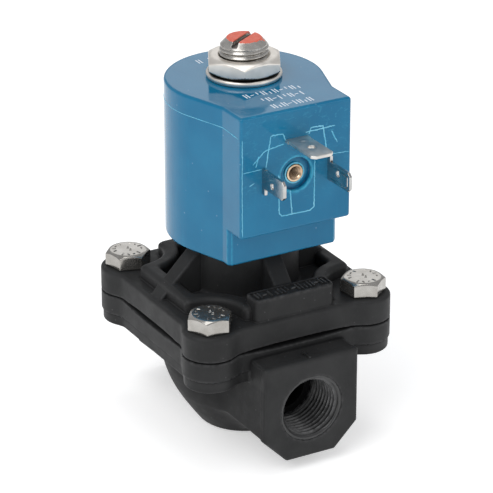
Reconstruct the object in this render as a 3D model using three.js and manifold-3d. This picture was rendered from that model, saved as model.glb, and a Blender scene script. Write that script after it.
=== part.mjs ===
// Solenoid valve: two-way, normally closed, internally piloted diaphragm valve.
// Millimetres, +Z up. The origin is the centre of the flat foot under the body's bowl, on the valve's axis.
// +X points out of the inlet port and is also the side of the coil's terminals.

import * as THREE from 'three';
import { mergeVertices } from 'three/addons/utils/BufferGeometryUtils.js';
import Module from 'manifold-3d';

const wasm = await Module();
wasm.setup();

// ---------------------------------------------------------------- driving dimensions

const GAP = 0.3; // between neighbours that touch on the real valve and don't show
const FINE_GAP = 0.1; // the same, where it shows

// Flanges, bolts and parting plane
const BOLT_PITCH = 43.2;
const FLANGE_HALF = 26.5;
const LOBE_R = 6.9;
const FLANGE_BOTTOM_Z = 23.2;
const MOULD_STEP_Z = 26.2;
const MOULD_STEP = 0.35;
const PARTING_Z = 31.2;
const BONNET_BOTTOM_Z = PARTING_Z + GAP;
const FLANGE_EDGE_Z = 37.0;
const FLANGE_TOP_Z = 38.0;
const BOLT_R = 2.9;
const BOLT_AF = 10;
const BOLT_HEAD = 3.9;
const BOLT_END_Z = 23.6;
const INSERT_R = 4.3;
const INSERT_BORE_R = 3.2;

// Ports
const FACE_X = 33.75;
const PORT_Z = 16.0;
const PORT_HALF_WIDTH = 13.17;
const PORT_BOTTOM_Z = 3.0;
const PORT_TOP_Z = 29.25;
const PORT_CHAMFER = 6.4;
const NECK_INSET = 0.6;
const COLLAR_LENGTH = 6.0;
const THREAD_R = 7.9;
const THREAD_MOUTH_R = 8.4;
const THREAD_DEPTH = 13.0;
const PASSAGE_R = 5.5;

// Bowl, chamber and seat
const BOWL = [[11.5, 0], [13.8, 3.1], [16.9, 7.7], [19.3, 12.4], [20.7, 17.0], [20.9, FLANGE_BOTTOM_Z + 1]];
const CHAMBER_R = 16.6;
const CHAMBER_FLOOR_Z = 9.5;
const NOZZLE_R = 8.4;
const NOZZLE_BORE_R = 6.0;
const SEAT_Z = 27.3;
const RECESS_R = 19.0;
const RECESS_Z = 29.5;

// Bonnet
const COLUMN_R = 13.6;
const COLUMN_TOP_Z = 51.3;
const RIB_CENTRE = 21.1;
const RIB_ARC_R = 10.9;
const RIB_WIDTH = 4.0;
const RIB_TOP_Z = 41.6;
const GUSSET_WIDTH = 5.0;
const GUSSET_FOOT = 25.2;
const GUSSET_TOP_Z = 50.2;
const BLOCK = { x0: 20.0, x1: 25.5, half: 11.0, top: 44.0, corner: 1.2 };
const UPPER_CHAMBER_R = 17.0;
const UPPER_CHAMBER_Z = 35.3;
const SPRING_WELL_R = 11.0;
const SPRING_WELL_Z = 40.4;
const WEB_TOP_Z = 43.4;
const PILOT_CHANNEL_Z = 41.9;
const PILOT_CHANNEL_R = 0.7;
const PILOT_DROP_X = -19.6;

// Tube, cores and nut
const TUBE_R = 6.3;
const TUBE_BORE_R = 5.15;
const TUBE_FLANGE_R = 9.3;
const TUBE_FLANGE_Z = [45.4, 48.0];
const TUBE_SEAT_Z = 45.1;
const TUBE_SEAT_R = 9.8;
const TUBE_TOP_Z = 89.7;
const O_RING_GROOVE_Z = [45.9, 47.5];
const O_RING_GROOVE_R = 7.7;
const CORE_R = 4.85;
const CORE_BOTTOM_Z = 74.0;
const STUD_R = 6.3;
const STUD_BOTTOM_Z = TUBE_TOP_Z + GAP;
const STUD_TOP_Z = 101.8;
const STUD_TOP_R = 4.9;
const STUD_THREAD = { pitch: 1.27, depth: 0.35, turns: 3, top: 100.2 };
const STUD_SLOT = { width: 2.0, depth: 1.9, turn: 122.6 };
const PLUNGER_R = 5.0;
const PLUNGER_Z = [45.4, 71.7];
const NUT = { af: 17.3, bottom: 93.35, top: 97.5, turn: -28 };
const WASHER = { r: 9.35, bottom: 91.9, top: 93.2 };

// Coil
const COIL_R = 19.6;
const COIL_HALF_WIDTH = 15.2;
const COIL_FRONT_X = 19.5;
const COIL_SHOULDER_X = 16.6;
const COIL_Z = [51.6, 91.8];
const BLOCK_FRONT_X = 25.4;
const BLOCK_BOTTOM_Z = 60.8;
const COIL_BORE_R = 6.7;
const CAVITY_R = 15.4;
const CAVITY_Z = [55.0, 88.4];
const TERMINAL_Z = 75.0;
const BLADE_PITCH = 18;
const BLADE_THICKNESS = 0.8;
const EARTH_Z = 84.0;

// ---------------------------------------------------------------- geometry helpers

/** A closed three.js geometry as a manifold-3d solid. */
function solid(geometry) {
  const bare = geometry.clone();
  bare.deleteAttribute('normal');
  bare.deleteAttribute('uv');
  const merged = mergeVertices(bare, 1e-4);
  const mesh = new wasm.Mesh({
    numProp: 3,
    vertProperties: new Float32Array(merged.attributes.position.array),
    triVerts: new Uint32Array(merged.index.array),
  });
  return new wasm.Manifold(mesh);
}

/** A manifold-3d solid as a three.js geometry. */
function geometryOf(manifold) {
  const mesh = manifold.getMesh();
  const geometry = new THREE.BufferGeometry();
  geometry.setAttribute('position', new THREE.BufferAttribute(new Float32Array(mesh.vertProperties), 3));
  geometry.setIndex(new THREE.BufferAttribute(new Uint32Array(mesh.triVerts), 1));
  geometry.computeVertexNormals();
  return geometry;
}

const join = (...solids) => solids.reduce((sum, s) => sum.add(s));
const cut = (first, ...tools) => tools.reduce((rest, t) => rest.subtract(t), first);

/** A shape in the XY plane extruded from z0 to z1, with an optional bevel on both ends. */
function prism(shape, z0, z1, bevel = 0, curveSegments = 12) {
  const geometry = new THREE.ExtrudeGeometry(shape, {
    depth: z1 - z0 - 2 * bevel,
    curveSegments,
    bevelEnabled: bevel > 0,
    bevelThickness: bevel,
    bevelSize: bevel,
    bevelOffset: -bevel,
    bevelSegments: 1,
  });
  return geometry.translate(0, 0, z0 + bevel);
}

/** A closed profile of [radius, z] points turned round the Z axis. */
function turned(points, segments = 24) {
  const profile = points.map(([r, z]) => new THREE.Vector2(r, z));
  return new THREE.LatheGeometry(profile, segments).rotateX(Math.PI / 2);
}

/** A solid rod or bore along Z. */
function rod(r, z0, z1, segments = 24) {
  return turned([[0, z0], [r, z0], [r, z1], [0, z1]], segments);
}

/** A ring along Z, from its inner to its outer radius. */
function ring(inner, outer, z0, z1, segments = 24) {
  return turned([[inner, z0], [outer, z0], [outer, z1], [inner, z1], [inner, z0]], segments);
}

/** A box from its lowest to its highest corner. */
function block(x0, x1, y0, y1, z0, z1) {
  return new THREE.BoxGeometry(x1 - x0, y1 - y0, z1 - z0)
    .translate((x0 + x1) / 2, (y0 + y1) / 2, (z0 + z1) / 2);
}

/** A rectangle with round corners, as a shape. */
function roundedRectangle(x0, x1, y0, y1, r) {
  const shape = new THREE.Shape();
  shape.absarc(x1 - r, y1 - r, r, 0, Math.PI / 2, false);
  shape.absarc(x0 + r, y1 - r, r, Math.PI / 2, Math.PI, false);
  shape.absarc(x0 + r, y0 + r, r, Math.PI, 1.5 * Math.PI, false);
  shape.absarc(x1 - r, y0 + r, r, 1.5 * Math.PI, 2 * Math.PI, false);
  return shape;
}

/** A hexagon of the given width across its flats, as a shape. */
function hexagon(af, turnDegrees) {
  const corner = af / Math.sqrt(3);
  const points = [];
  for (let i = 0; i < 6; i += 1) {
    const angle = THREE.MathUtils.degToRad(turnDegrees + 60 * i);
    points.push(new THREE.Vector2(corner * Math.cos(angle), corner * Math.sin(angle)));
  }
  return new THREE.Shape(points);
}

/** A hexagonal prism with its corners turned off at the top, and at the bottom where asked. */
function hexHead(af, z0, z1, turnDegrees, bothEnds) {
  const corner = af / Math.sqrt(3);
  const flatR = 0.47 * af;
  const drop = (corner - flatR) * Math.tan(Math.PI / 6);
  const lower = bothEnds ? [[flatR, z0], [corner, z0 + drop]] : [[corner, z0]];
  const envelope = turned([[0, z0], ...lower, [corner, z1 - drop], [flatR, z1], [0, z1]]);
  return solid(prism(hexagon(af, turnDegrees), z0, z1)).intersect(solid(envelope));
}

/** A coil spring of round wire along Z. The coil's radius runs from r0 to r1. */
function spring(r0, r1, wire, z0, z1, turns) {
  const stepsPerTurn = 10;
  const steps = turns * stepsPerTurn;
  const points = [];
  for (let i = 0; i <= steps; i += 1) {
    const t = i / steps;
    const angle = 2 * Math.PI * turns * t;
    const r = THREE.MathUtils.lerp(r0, r1, t);
    const z = THREE.MathUtils.lerp(z0 + wire, z1 - wire, t);
    points.push(new THREE.Vector3(r * Math.cos(angle), r * Math.sin(angle), z));
  }
  return wireAlong(points, wire, steps);
}

/** Round wire along a smooth line through the points. */
function wireAlong(points, radius, steps) {
  const sides = 6;
  const section = new THREE.Shape();
  section.absarc(0, 0, radius, 0, 2 * Math.PI, false);
  const extrudePath = new THREE.CatmullRomCurve3(points);
  return new THREE.ExtrudeGeometry(section, { steps, curveSegments: sides / 2, extrudePath });
}

// ---------------------------------------------------------------- materials

const finish = (color, roughness, metalness) =>
  new THREE.MeshStandardMaterial({ color, roughness, metalness });

const blackPlastic = finish(0x2b2b2c, 0.5, 0.0);
const bluePlastic = finish(0x2f78ac, 0.25, 0.0);
const stainless = finish(0xc9c5bd, 0.25, 1.0);
const nickel = finish(0xd8d6d2, 0.15, 1.0);
const brass = finish(0xc9a24a, 0.3, 1.0);
const copper = finish(0xb8683c, 0.35, 1.0);
const magneticSteel = finish(0x9a9a98, 0.4, 1.0);
const rubber = finish(0x1c1c1c, 0.8, 0.0);
const bobbinPlastic = finish(0xd9d4c4, 0.6, 0.0);

const valve = new THREE.Group();

/** Adds a named sub-part. */
function add(name, shape, material) {
  const geometry = shape instanceof wasm.Manifold ? geometryOf(shape) : shape;
  const mesh = new THREE.Mesh(geometry, material);
  mesh.name = name;
  valve.add(mesh);
  return mesh;
}

// ---------------------------------------------------------------- flange outline

const BOLTS = [
  { name: 'front_left', x: 1, y: -1, turn: -36 },
  { name: 'front_right', x: 1, y: 1, turn: -53 },
  { name: 'back_left', x: -1, y: -1, turn: -48 },
  { name: 'back_right', x: -1, y: 1, turn: 10 },
].map((bolt) => ({ ...bolt, x: bolt.x * BOLT_PITCH / 2, y: bolt.y * BOLT_PITCH / 2 }));

/** The square flange with a round lobe at each bolt, inset all round by the given amount. */
function flangeShape(inset) {
  const half = FLANGE_HALF - inset;
  const r = LOBE_R - inset;
  const c = BOLT_PITCH / 2;
  const meet = Math.asin((half - c) / r);
  const shape = new THREE.Shape();
  for (let i = 0; i < 4; i += 1) {
    const quarter = i * Math.PI / 2;
    const middle = quarter + Math.PI / 4;
    const spread = Math.PI * 0.75 - meet;
    const centre = new THREE.Vector2(c * Math.SQRT2, 0).rotateAround(new THREE.Vector2(), middle);
    shape.absarc(centre.x, centre.y, r, middle - spread, middle + spread, false);
  }
  return shape;
}

/** The cut that leaves room for something at every bolt. */
const atBolts = (geometry) => BOLTS.map((b) => solid(geometry.clone().translate(b.x, b.y, 0)));

// ---------------------------------------------------------------- body

/** A port boss's section, seen along X: square with its two lower corners cut off. */
function bossSection(inset) {
  const half = PORT_HALF_WIDTH - inset;
  const bottom = PORT_BOTTOM_Z + inset;
  const top = PORT_TOP_Z - inset;
  const chamfer = PORT_CHAMFER;
  return new THREE.Shape([
    new THREE.Vector2(-half + chamfer, bottom),
    new THREE.Vector2(half - chamfer, bottom),
    new THREE.Vector2(half, bottom + chamfer),
    new THREE.Vector2(half, top),
    new THREE.Vector2(-half, top),
    new THREE.Vector2(-half, bottom + chamfer),
  ]);
}

/** A geometry built along Z, turned to lie along +X. Its X becomes Y and its Y becomes Z. */
const alongX = (geometry) => geometry.rotateX(Math.PI / 2).rotateZ(Math.PI / 2);

/** A rod or bore of two radii along the ports' axis. */
function boreX(points, segments = 28) {
  return solid(turned(points, segments).rotateY(Math.PI / 2).translate(0, 0, PORT_Z));
}

function makeBody() {
  const collarX = FACE_X - COLLAR_LENGTH;
  const neck = prism(bossSection(NECK_INSET), -collarX, collarX);
  const collar = prism(bossSection(0), collarX, FACE_X);
  const farCollar = prism(bossSection(0), -FACE_X, -collarX);
  const bowl = turned([[0, 0], ...BOWL, [0, FLANGE_BOTTOM_Z + 1]], 36);
  const outside = join(
    solid(prism(flangeShape(0), MOULD_STEP_Z, PARTING_Z, 0, 6)),
    solid(prism(flangeShape(MOULD_STEP), FLANGE_BOTTOM_Z, MOULD_STEP_Z + 0.5, 0, 6)),
    solid(alongX(neck)),
    solid(alongX(collar)),
    solid(alongX(farCollar)),
    solid(bowl),
  );

  const socketX = FACE_X - THREAD_DEPTH;
  const lead = THREAD_MOUTH_R - THREAD_R;
  const socket = [
    [0, socketX], [THREAD_R, socketX], [THREAD_R, FACE_X - lead], [THREAD_MOUTH_R, FACE_X],
    [THREAD_MOUTH_R, FACE_X + 1], [0, FACE_X + 1],
  ];
  const farSocket = socket.map(([r, x]) => [r, -x]).reverse();
  const chamber = ring(NOZZLE_R, CHAMBER_R, CHAMBER_FLOOR_Z, PARTING_Z + 1, 32);
  const bridge = block(-CHAMBER_R - 2, 0, -PASSAGE_R - 2, PASSAGE_R + 2, CHAMBER_FLOOR_Z - 1, PORT_Z + PASSAGE_R + 2);
  const inletPassage = boreX([[0, NOZZLE_R + 2], [PASSAGE_R, NOZZLE_R + 2], [PASSAGE_R, socketX + 1], [0, socketX + 1]]);
  const outletPassage = boreX([[0, -socketX - 1], [PASSAGE_R, -socketX - 1], [PASSAGE_R, 0], [0, 0]]);
  const pilotDrop = rod(PILOT_CHANNEL_R, PORT_Z, PARTING_Z + 1, 8).translate(PILOT_DROP_X, 0, 0);

  return cut(
    outside,
    cut(solid(chamber), solid(bridge)),
    solid(rod(RECESS_R, RECESS_Z, PARTING_Z + 1, 32)),
    solid(rod(NOZZLE_R + 1, SEAT_Z, PARTING_Z + 1, 32)),
    solid(rod(NOZZLE_BORE_R, PORT_Z - 1, SEAT_Z + 1)),
    boreX(socket),
    boreX(farSocket),
    inletPassage,
    outletPassage,
    solid(pilotDrop),
    ...atBolts(rod(INSERT_R + GAP, FLANGE_BOTTOM_Z - 1, PARTING_Z + 1, 16)),
  );
}

add('valve_body', makeBody(), blackPlastic);

for (const bolt of BOLTS) {
  const insert = ring(INSERT_BORE_R, INSERT_R, FLANGE_BOTTOM_Z + GAP, PARTING_Z - GAP, 16);
  add(`threaded_insert_${bolt.name}`, insert.translate(bolt.x, bolt.y, 0), brass);
}

// ---------------------------------------------------------------- bonnet

/** Half of the angle that a rib's arc spans at a bolt, for an edge at the given offset from its middle. */
function ribEdge(offset) {
  const straight = RIB_CENTRE + offset;
  const r = RIB_ARC_R - offset;
  const c = BOLT_PITCH / 2;
  const meet = Math.asin((straight - c) / r);
  return { r, c, spread: Math.PI / 4 + meet };
}

/** The rib's closed line round the bonnet: straight along each side and round the inside of each bolt. */
function ribOutline(offset, target) {
  const { r, c, spread } = ribEdge(offset);
  for (let i = 0; i < 4; i += 1) {
    const middle = i * Math.PI / 2 + Math.PI / 4;
    const centre = new THREE.Vector2(c * Math.SQRT2, 0).rotateAround(new THREE.Vector2(), middle);
    target.absarc(centre.x, centre.y, r, middle + Math.PI + spread, middle + Math.PI - spread, true);
  }
  return target;
}

function makeRibs() {
  const band = ribOutline(RIB_WIDTH / 2, new THREE.Shape());
  band.holes.push(ribOutline(-RIB_WIDTH / 2, new THREE.Path()));
  return solid(prism(band, FLANGE_TOP_Z - 2, RIB_TOP_Z, 0.8, 6));
}

/** One of the four sloping gussets between the column and the flange's edge. */
function makeGusset(turn) {
  const half = GUSSET_WIDTH / 2;
  const inner = COLUMN_R - 1.5;
  const profile = new THREE.Shape([
    new THREE.Vector2(inner, FLANGE_TOP_Z - 1),
    new THREE.Vector2(GUSSET_FOOT, FLANGE_TOP_Z - 1),
    new THREE.Vector2(GUSSET_FOOT, FLANGE_TOP_Z),
    new THREE.Vector2(GUSSET_FOOT + FLANGE_TOP_Z - GUSSET_TOP_Z, GUSSET_TOP_Z),
    new THREE.Vector2(inner, GUSSET_TOP_Z),
  ]);
  const wedge = prism(profile, -half, half).rotateX(Math.PI / 2);
  return solid(wedge.rotateZ(turn * Math.PI / 2));
}

function makeBonnet() {
  const outline = roundedRectangle(BLOCK.x0, BLOCK.x1, -BLOCK.half, BLOCK.half, BLOCK.corner);
  const panel = roundedRectangle(BLOCK.x0 + 0.8, BLOCK.x1 - 0.5, 0.7 - BLOCK.half, BLOCK.half - 0.7, 0.6);
  const outside = join(
    solid(prism(flangeShape(0), BONNET_BOTTOM_Z, FLANGE_EDGE_Z, 0, 6)),
    solid(prism(flangeShape(0), FLANGE_EDGE_Z - 3, FLANGE_TOP_Z, 1, 6)),
    solid(rod(COLUMN_R, FLANGE_EDGE_Z, COLUMN_TOP_Z, 36)),
    makeRibs(),
    solid(prism(outline, FLANGE_EDGE_Z, BLOCK.top, 0, 4)),
    ...[0, 1, 2, 3].map(makeGusset),
  );
  const channel = rod(PILOT_CHANNEL_R, PILOT_DROP_X, 0, 8).rotateY(Math.PI / 2);
  const drop = rod(PILOT_CHANNEL_R, BONNET_BOTTOM_Z - 1, PILOT_CHANNEL_Z, 8);
  const rise = rod(0.8, SPRING_WELL_Z - 1, WEB_TOP_Z + 1, 8);
  return cut(
    outside,
    solid(prism(panel, BLOCK.top - 0.35, BLOCK.top + 1, 0, 4)),
    solid(rod(UPPER_CHAMBER_R, BONNET_BOTTOM_Z - 1, UPPER_CHAMBER_Z, 32)),
    solid(rod(SPRING_WELL_R, BONNET_BOTTOM_Z - 1, SPRING_WELL_Z, 28)),
    solid(rod(TUBE_SEAT_R, TUBE_SEAT_Z, COLUMN_TOP_Z + 1, 28)),
    solid(rod(6.5, WEB_TOP_Z, COLUMN_TOP_Z + 1)),
    solid(rod(2.5, PILOT_CHANNEL_Z - PILOT_CHANNEL_R, WEB_TOP_Z + 1, 16)),
    solid(channel.translate(0, 0, PILOT_CHANNEL_Z)),
    solid(drop.translate(PILOT_DROP_X, 0, 0)),
    solid(rise.translate(0, 5.2, 0)),
    ...atBolts(rod(BOLT_R + 0.4, BONNET_BOTTOM_Z - 1, FLANGE_TOP_Z + 1, 16)),
  );
}

add('bonnet', makeBonnet(), blackPlastic);

function makeBolt(turn) {
  const seat = FLANGE_TOP_Z + FINE_GAP;
  const shank = turned([
    [0, BOLT_END_Z], [BOLT_R - 0.6, BOLT_END_Z], [BOLT_R, BOLT_END_Z + 0.6], [BOLT_R, seat + 0.5], [0, seat + 0.5],
  ], 16);
  return join(hexHead(BOLT_AF, seat, seat + BOLT_HEAD, turn, false), solid(shank));
}

for (const bolt of BOLTS) {
  add(`bonnet_bolt_${bolt.name}`, geometryOf(makeBolt(bolt.turn)).translate(bolt.x, bolt.y, 0), stainless);
}

// ---------------------------------------------------------------- diaphragm and its middle

const DIAPHRAGM_Z = [RECESS_Z + GAP, PARTING_Z];
const STEM_R = 2.5;

function makeDiaphragm() {
  const [low, high] = DIAPHRAGM_Z;
  const disc = ring(STEM_R + GAP, RECESS_R - GAP, low, high, 40);
  const bleed = rod(0.5, low - 1, high + 1, 8).translate(13.5, 0, 0);
  return cut(solid(disc), solid(bleed));
}

add('diaphragm', makeDiaphragm(), rubber);

const DISC_Z = [SEAT_Z + 1.4, DIAPHRAGM_Z[0] - GAP];
const PLATE_Z = [PARTING_Z + GAP, PARTING_Z + 2.0];
const CLAMP_NUT_Z = [PLATE_Z[1] + GAP, PLATE_Z[1] + 3.0];
add('valve_disc', turned([
  [0, DISC_Z[0]], [8.2, DISC_Z[0]], [8.2, DISC_Z[1]], [STEM_R, DISC_Z[1]],
  [STEM_R, CLAMP_NUT_Z[1] + 0.2], [0, CLAMP_NUT_Z[1] + 0.2],
]), brass);
add('seat_seal', rod(8.2, SEAT_Z + GAP, DISC_Z[0] - GAP, 32), rubber);
add('diaphragm_plate', ring(STEM_R + GAP, 10.4, ...PLATE_Z), stainless);
add('diaphragm_nut', cut(
  hexHead(8, ...CLAMP_NUT_Z, 0, true),
  solid(rod(STEM_R + GAP, CLAMP_NUT_Z[0] - 1, CLAMP_NUT_Z[1] + 1, 16)),
), brass);
add('diaphragm_spring', spring(9.2, 7.2, 0.5, PLATE_Z[1] + GAP, SPRING_WELL_Z - GAP, 4), stainless);

// ---------------------------------------------------------------- pilot seat, plunger and tube

const SEAT_HEAD_Z = WEB_TOP_Z + GAP;
add('pilot_seat', turned([
  [0.8, 42.7], [2.2, 42.7], [2.2, SEAT_HEAD_Z], [3.4, SEAT_HEAD_Z], [3.4, SEAT_HEAD_Z + 0.5],
  [1.5, SEAT_HEAD_Z + 0.5], [1.5, SEAT_HEAD_Z + 0.8], [0.8, SEAT_HEAD_Z + 0.8], [0.8, 42.7],
], 16), stainless);

const SEAL_Z = [SEAT_HEAD_Z + 0.8 + GAP, 47.2];
add('plunger_seal', rod(2.6, ...SEAL_Z, 16), rubber);

const SPRING_POCKET_Z = 63.7;
function makePlunger() {
  const [low, high] = PLUNGER_Z;
  const body = turned([
    [0, SEAL_Z[1] + GAP], [2.9, SEAL_Z[1] + GAP], [2.9, low], [PLUNGER_R - 0.6, low], [PLUNGER_R, low + 0.6],
    [PLUNGER_R, high - 0.4], [PLUNGER_R - 0.4, high], [2.9, high], [2.9, SPRING_POCKET_Z], [0, SPRING_POCKET_Z],
  ], 24);
  const groove = block(PLUNGER_R - 0.8, PLUNGER_R + 1, -0.8, 0.8, low - 1, high + 1);
  return cut(solid(body), solid(groove), solid(groove.clone().rotateZ(Math.PI)));
}

add('plunger', makePlunger(), magneticSteel);
add('plunger_spring', spring(2.2, 2.2, 0.28, SPRING_POCKET_Z + GAP, CORE_BOTTOM_Z - GAP, 6), stainless);

function makeTube() {
  const [flangeLow, flangeHigh] = TUBE_FLANGE_Z;
  const [grooveLow, grooveHigh] = O_RING_GROOVE_Z;
  return turned([
    [TUBE_BORE_R, flangeLow], [TUBE_FLANGE_R, flangeLow], [TUBE_FLANGE_R, grooveLow],
    [O_RING_GROOVE_R, grooveLow], [O_RING_GROOVE_R, grooveHigh], [TUBE_FLANGE_R, grooveHigh],
    [TUBE_FLANGE_R, flangeHigh], [TUBE_R, flangeHigh], [TUBE_R, TUBE_TOP_Z],
    [TUBE_BORE_R, TUBE_TOP_Z], [TUBE_BORE_R, flangeLow],
  ], 28);
}

add('core_tube', makeTube(), stainless);

const O_RING = { centre: 8.7, z: (O_RING_GROOVE_Z[0] + O_RING_GROOVE_Z[1]) / 2, r: 0.65, sides: 8 };
const oRingSection = [];
for (let i = 0; i <= O_RING.sides; i += 1) {
  const angle = 2 * Math.PI * (i % O_RING.sides) / O_RING.sides;
  oRingSection.push([O_RING.centre + O_RING.r * Math.cos(angle), O_RING.z + O_RING.r * Math.sin(angle)]);
}
add('tube_o_ring', turned(oRingSection), rubber);
add('tube_retaining_ring', ring(TUBE_R + GAP, TUBE_SEAT_R - GAP, TUBE_FLANGE_Z[1] + GAP, COLUMN_TOP_Z - 0.1), brass);

/** The plug that closes the tube: a core inside it and a threaded, slotted stud above it. */
function makeFixedCore() {
  const { pitch, depth, turns, top } = STUD_THREAD;
  const root = STUD_R - depth;
  const thread = [];
  for (let turn = turns; turn > 0; turn -= 1) {
    const z = top - turn * pitch;
    thread.push([root, z], [STUD_R, z + 0.4 * pitch], [STUD_R, z + 0.6 * pitch]);
  }
  const plug = turned([
    [0, CORE_BOTTOM_Z], [CORE_R, CORE_BOTTOM_Z], [CORE_R, STUD_BOTTOM_Z], [STUD_R, STUD_BOTTOM_Z],
    [STUD_R, top - (turns + 0.4) * pitch], ...thread, [root, top], [root, top + 0.3],
    [STUD_TOP_R, STUD_TOP_Z], [0, STUD_TOP_Z],
  ], 28);
  const slotBottom = STUD_TOP_Z - STUD_SLOT.depth;
  const slot = block(-STUD_R - 1, STUD_R + 1, -STUD_SLOT.width / 2, STUD_SLOT.width / 2, slotBottom, STUD_TOP_Z + 1);
  const ringGroove = ring(3.0, 4.2, CORE_BOTTOM_Z - 1, CORE_BOTTOM_Z + 1.6);
  return cut(solid(plug), solid(slot.rotateZ(THREE.MathUtils.degToRad(STUD_SLOT.turn))), solid(ringGroove));
}

add('fixed_core', makeFixedCore(), stainless);
add('shading_ring', ring(3.2, 4.0, CORE_BOTTOM_Z + 0.1, CORE_BOTTOM_Z + 1.3, 24), copper);

// ---------------------------------------------------------------- washer and nut on the coil

add('coil_washer', turned([
  [STUD_R + GAP, WASHER.bottom], [WASHER.r - 0.5, WASHER.bottom], [WASHER.r, WASHER.bottom + 0.5],
  [WASHER.r, WASHER.top - 0.4], [WASHER.r - 0.4, WASHER.top], [STUD_R + GAP, WASHER.top],
  [STUD_R + GAP, WASHER.bottom],
]), nickel);
add('coil_nut', cut(
  hexHead(NUT.af, NUT.bottom, NUT.top, NUT.turn, true),
  solid(rod(STUD_R + 0.15, NUT.bottom - 1, NUT.top + 1, 28)),
), nickel);

// ---------------------------------------------------------------- coil

/** The coil's plan: round at the back, with flats that close in towards its front face. */
function coilShape() {
  const reach = Math.hypot(COIL_SHOULDER_X, COIL_HALF_WIDTH);
  const tangent = Math.atan2(COIL_HALF_WIDTH, COIL_SHOULDER_X) + Math.acos(COIL_R / reach);
  const corner = 1.0;
  const shape = new THREE.Shape();
  shape.absarc(0, 0, COIL_R, tangent, 2 * Math.PI - tangent, false);
  shape.lineTo(COIL_SHOULDER_X, -COIL_HALF_WIDTH);
  shape.absarc(COIL_FRONT_X - corner, corner - COIL_HALF_WIDTH, corner, 1.5 * Math.PI, 2 * Math.PI, false);
  shape.absarc(COIL_FRONT_X - corner, COIL_HALF_WIDTH - corner, corner, 0, Math.PI / 2, false);
  shape.lineTo(COIL_SHOULDER_X, COIL_HALF_WIDTH);
  return shape;
}

/** A vertical terminal's side view along X and Z, between its root and its tip. */
function bladeShape({ inner, shoulder, tip, rootLow, rootHigh, low, high, hole }) {
  const corner = 0.9;
  const shape = new THREE.Shape([
    new THREE.Vector2(inner, rootLow), new THREE.Vector2(shoulder, rootLow), new THREE.Vector2(shoulder, low),
    new THREE.Vector2(tip - corner, low), new THREE.Vector2(tip, low + corner),
    new THREE.Vector2(tip, high - corner), new THREE.Vector2(tip - corner, high),
    new THREE.Vector2(shoulder, high), new THREE.Vector2(shoulder, rootHigh), new THREE.Vector2(inner, rootHigh),
  ]);
  const pin = new THREE.Path();
  pin.absarc(hole.x, hole.z, hole.r, 0, 2 * Math.PI, true);
  shape.holes.push(pin);
  return shape;
}

const BLADES = {
  left: {
    y: -BLADE_PITCH / 2,
    inner: 17.0, shoulder: 26.7, tip: 35.6, rootLow: 71.8, rootHigh: 78.3, low: 73.4, high: 78.2,
    hole: { x: 30.3, z: 75.3, r: 0.75 },
  },
  right: {
    y: BLADE_PITCH / 2,
    inner: 17.0, shoulder: 26.7, tip: 35.6, rootLow: 71.8, rootHigh: 78.3, low: 71.9, high: 76.8,
    hole: { x: 30.3, z: 74.9, r: 0.75 },
  },
};
const EARTH = { y: 0, inner: 17.0, shoulder: 26.7, tip: 38.0, rootLow: -3.15, rootHigh: 3.15, low: -3.0, high: 3.0,
  hole: { x: 32.4, z: 0, r: 0.9 } };

/** The slot in the coil's moulding round a blade's root. */
function bladeRoom(y, z, halfY, halfZ) {
  return solid(block(15.5, BLOCK_FRONT_X + 1, y - halfY - GAP, y + halfY + GAP, z - halfZ - GAP, z + halfZ + GAP));
}

function makeHousing() {
  const [low, high] = COIL_Z;
  const front = roundedRectangle(COIL_FRONT_X - 4, BLOCK_FRONT_X, -COIL_HALF_WIDTH, COIL_HALF_WIDTH, 0.8);
  const outside = join(
    solid(prism(coilShape(), low, high, 0.6, 12)),
    solid(prism(front, BLOCK_BOTTOM_Z, high, 0.5, 3)),
  );
  const rootMiddle = (BLADES.left.rootLow + BLADES.left.rootHigh) / 2;
  const rootHalf = (BLADES.left.rootHigh - BLADES.left.rootLow) / 2;
  const insertSeat = turned([
    [0, 16.0], [2.5, 16.0], [2.5, BLOCK_FRONT_X - 1.0], [4.2, BLOCK_FRONT_X - 1.0], [4.2, BLOCK_FRONT_X + 1],
    [0, BLOCK_FRONT_X + 1],
  ], 24).rotateY(Math.PI / 2).translate(0, 0, TERMINAL_Z);
  return cut(
    outside,
    solid(rod(COIL_BORE_R, low - 1, high + 1, 28)),
    solid(rod(CAVITY_R, ...CAVITY_Z, 28)),
    solid(block(8, 17.5, -11, 11, 68.5, 86)),
    bladeRoom(BLADES.left.y, rootMiddle, BLADE_THICKNESS / 2, rootHalf),
    bladeRoom(BLADES.right.y, rootMiddle, BLADE_THICKNESS / 2, rootHalf),
    bladeRoom(0, EARTH_Z, EARTH.rootHigh, BLADE_THICKNESS / 2),
    solid(insertSeat),
  );
}

add('coil_housing', makeHousing(), bluePlastic);

for (const [side, blade] of Object.entries(BLADES)) {
  const plate = prism(bladeShape(blade), -BLADE_THICKNESS / 2, BLADE_THICKNESS / 2, 0, 5);
  add(`blade_${side}`, plate.rotateX(Math.PI / 2).translate(0, blade.y, 0), nickel);
}
const earthPlate = prism(bladeShape(EARTH), EARTH_Z - BLADE_THICKNESS / 2, EARTH_Z + BLADE_THICKNESS / 2, 0, 5);
add('earth_blade', earthPlate, nickel);

add('terminal_screw_insert', turned([
  [0, 16.9], [2.2, 16.9], [2.2, 24.8], [1.5, 24.8], [1.5, 18.5], [0, 18.5],
], 20).rotateY(Math.PI / 2).translate(0, 0, TERMINAL_Z), brass);

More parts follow.
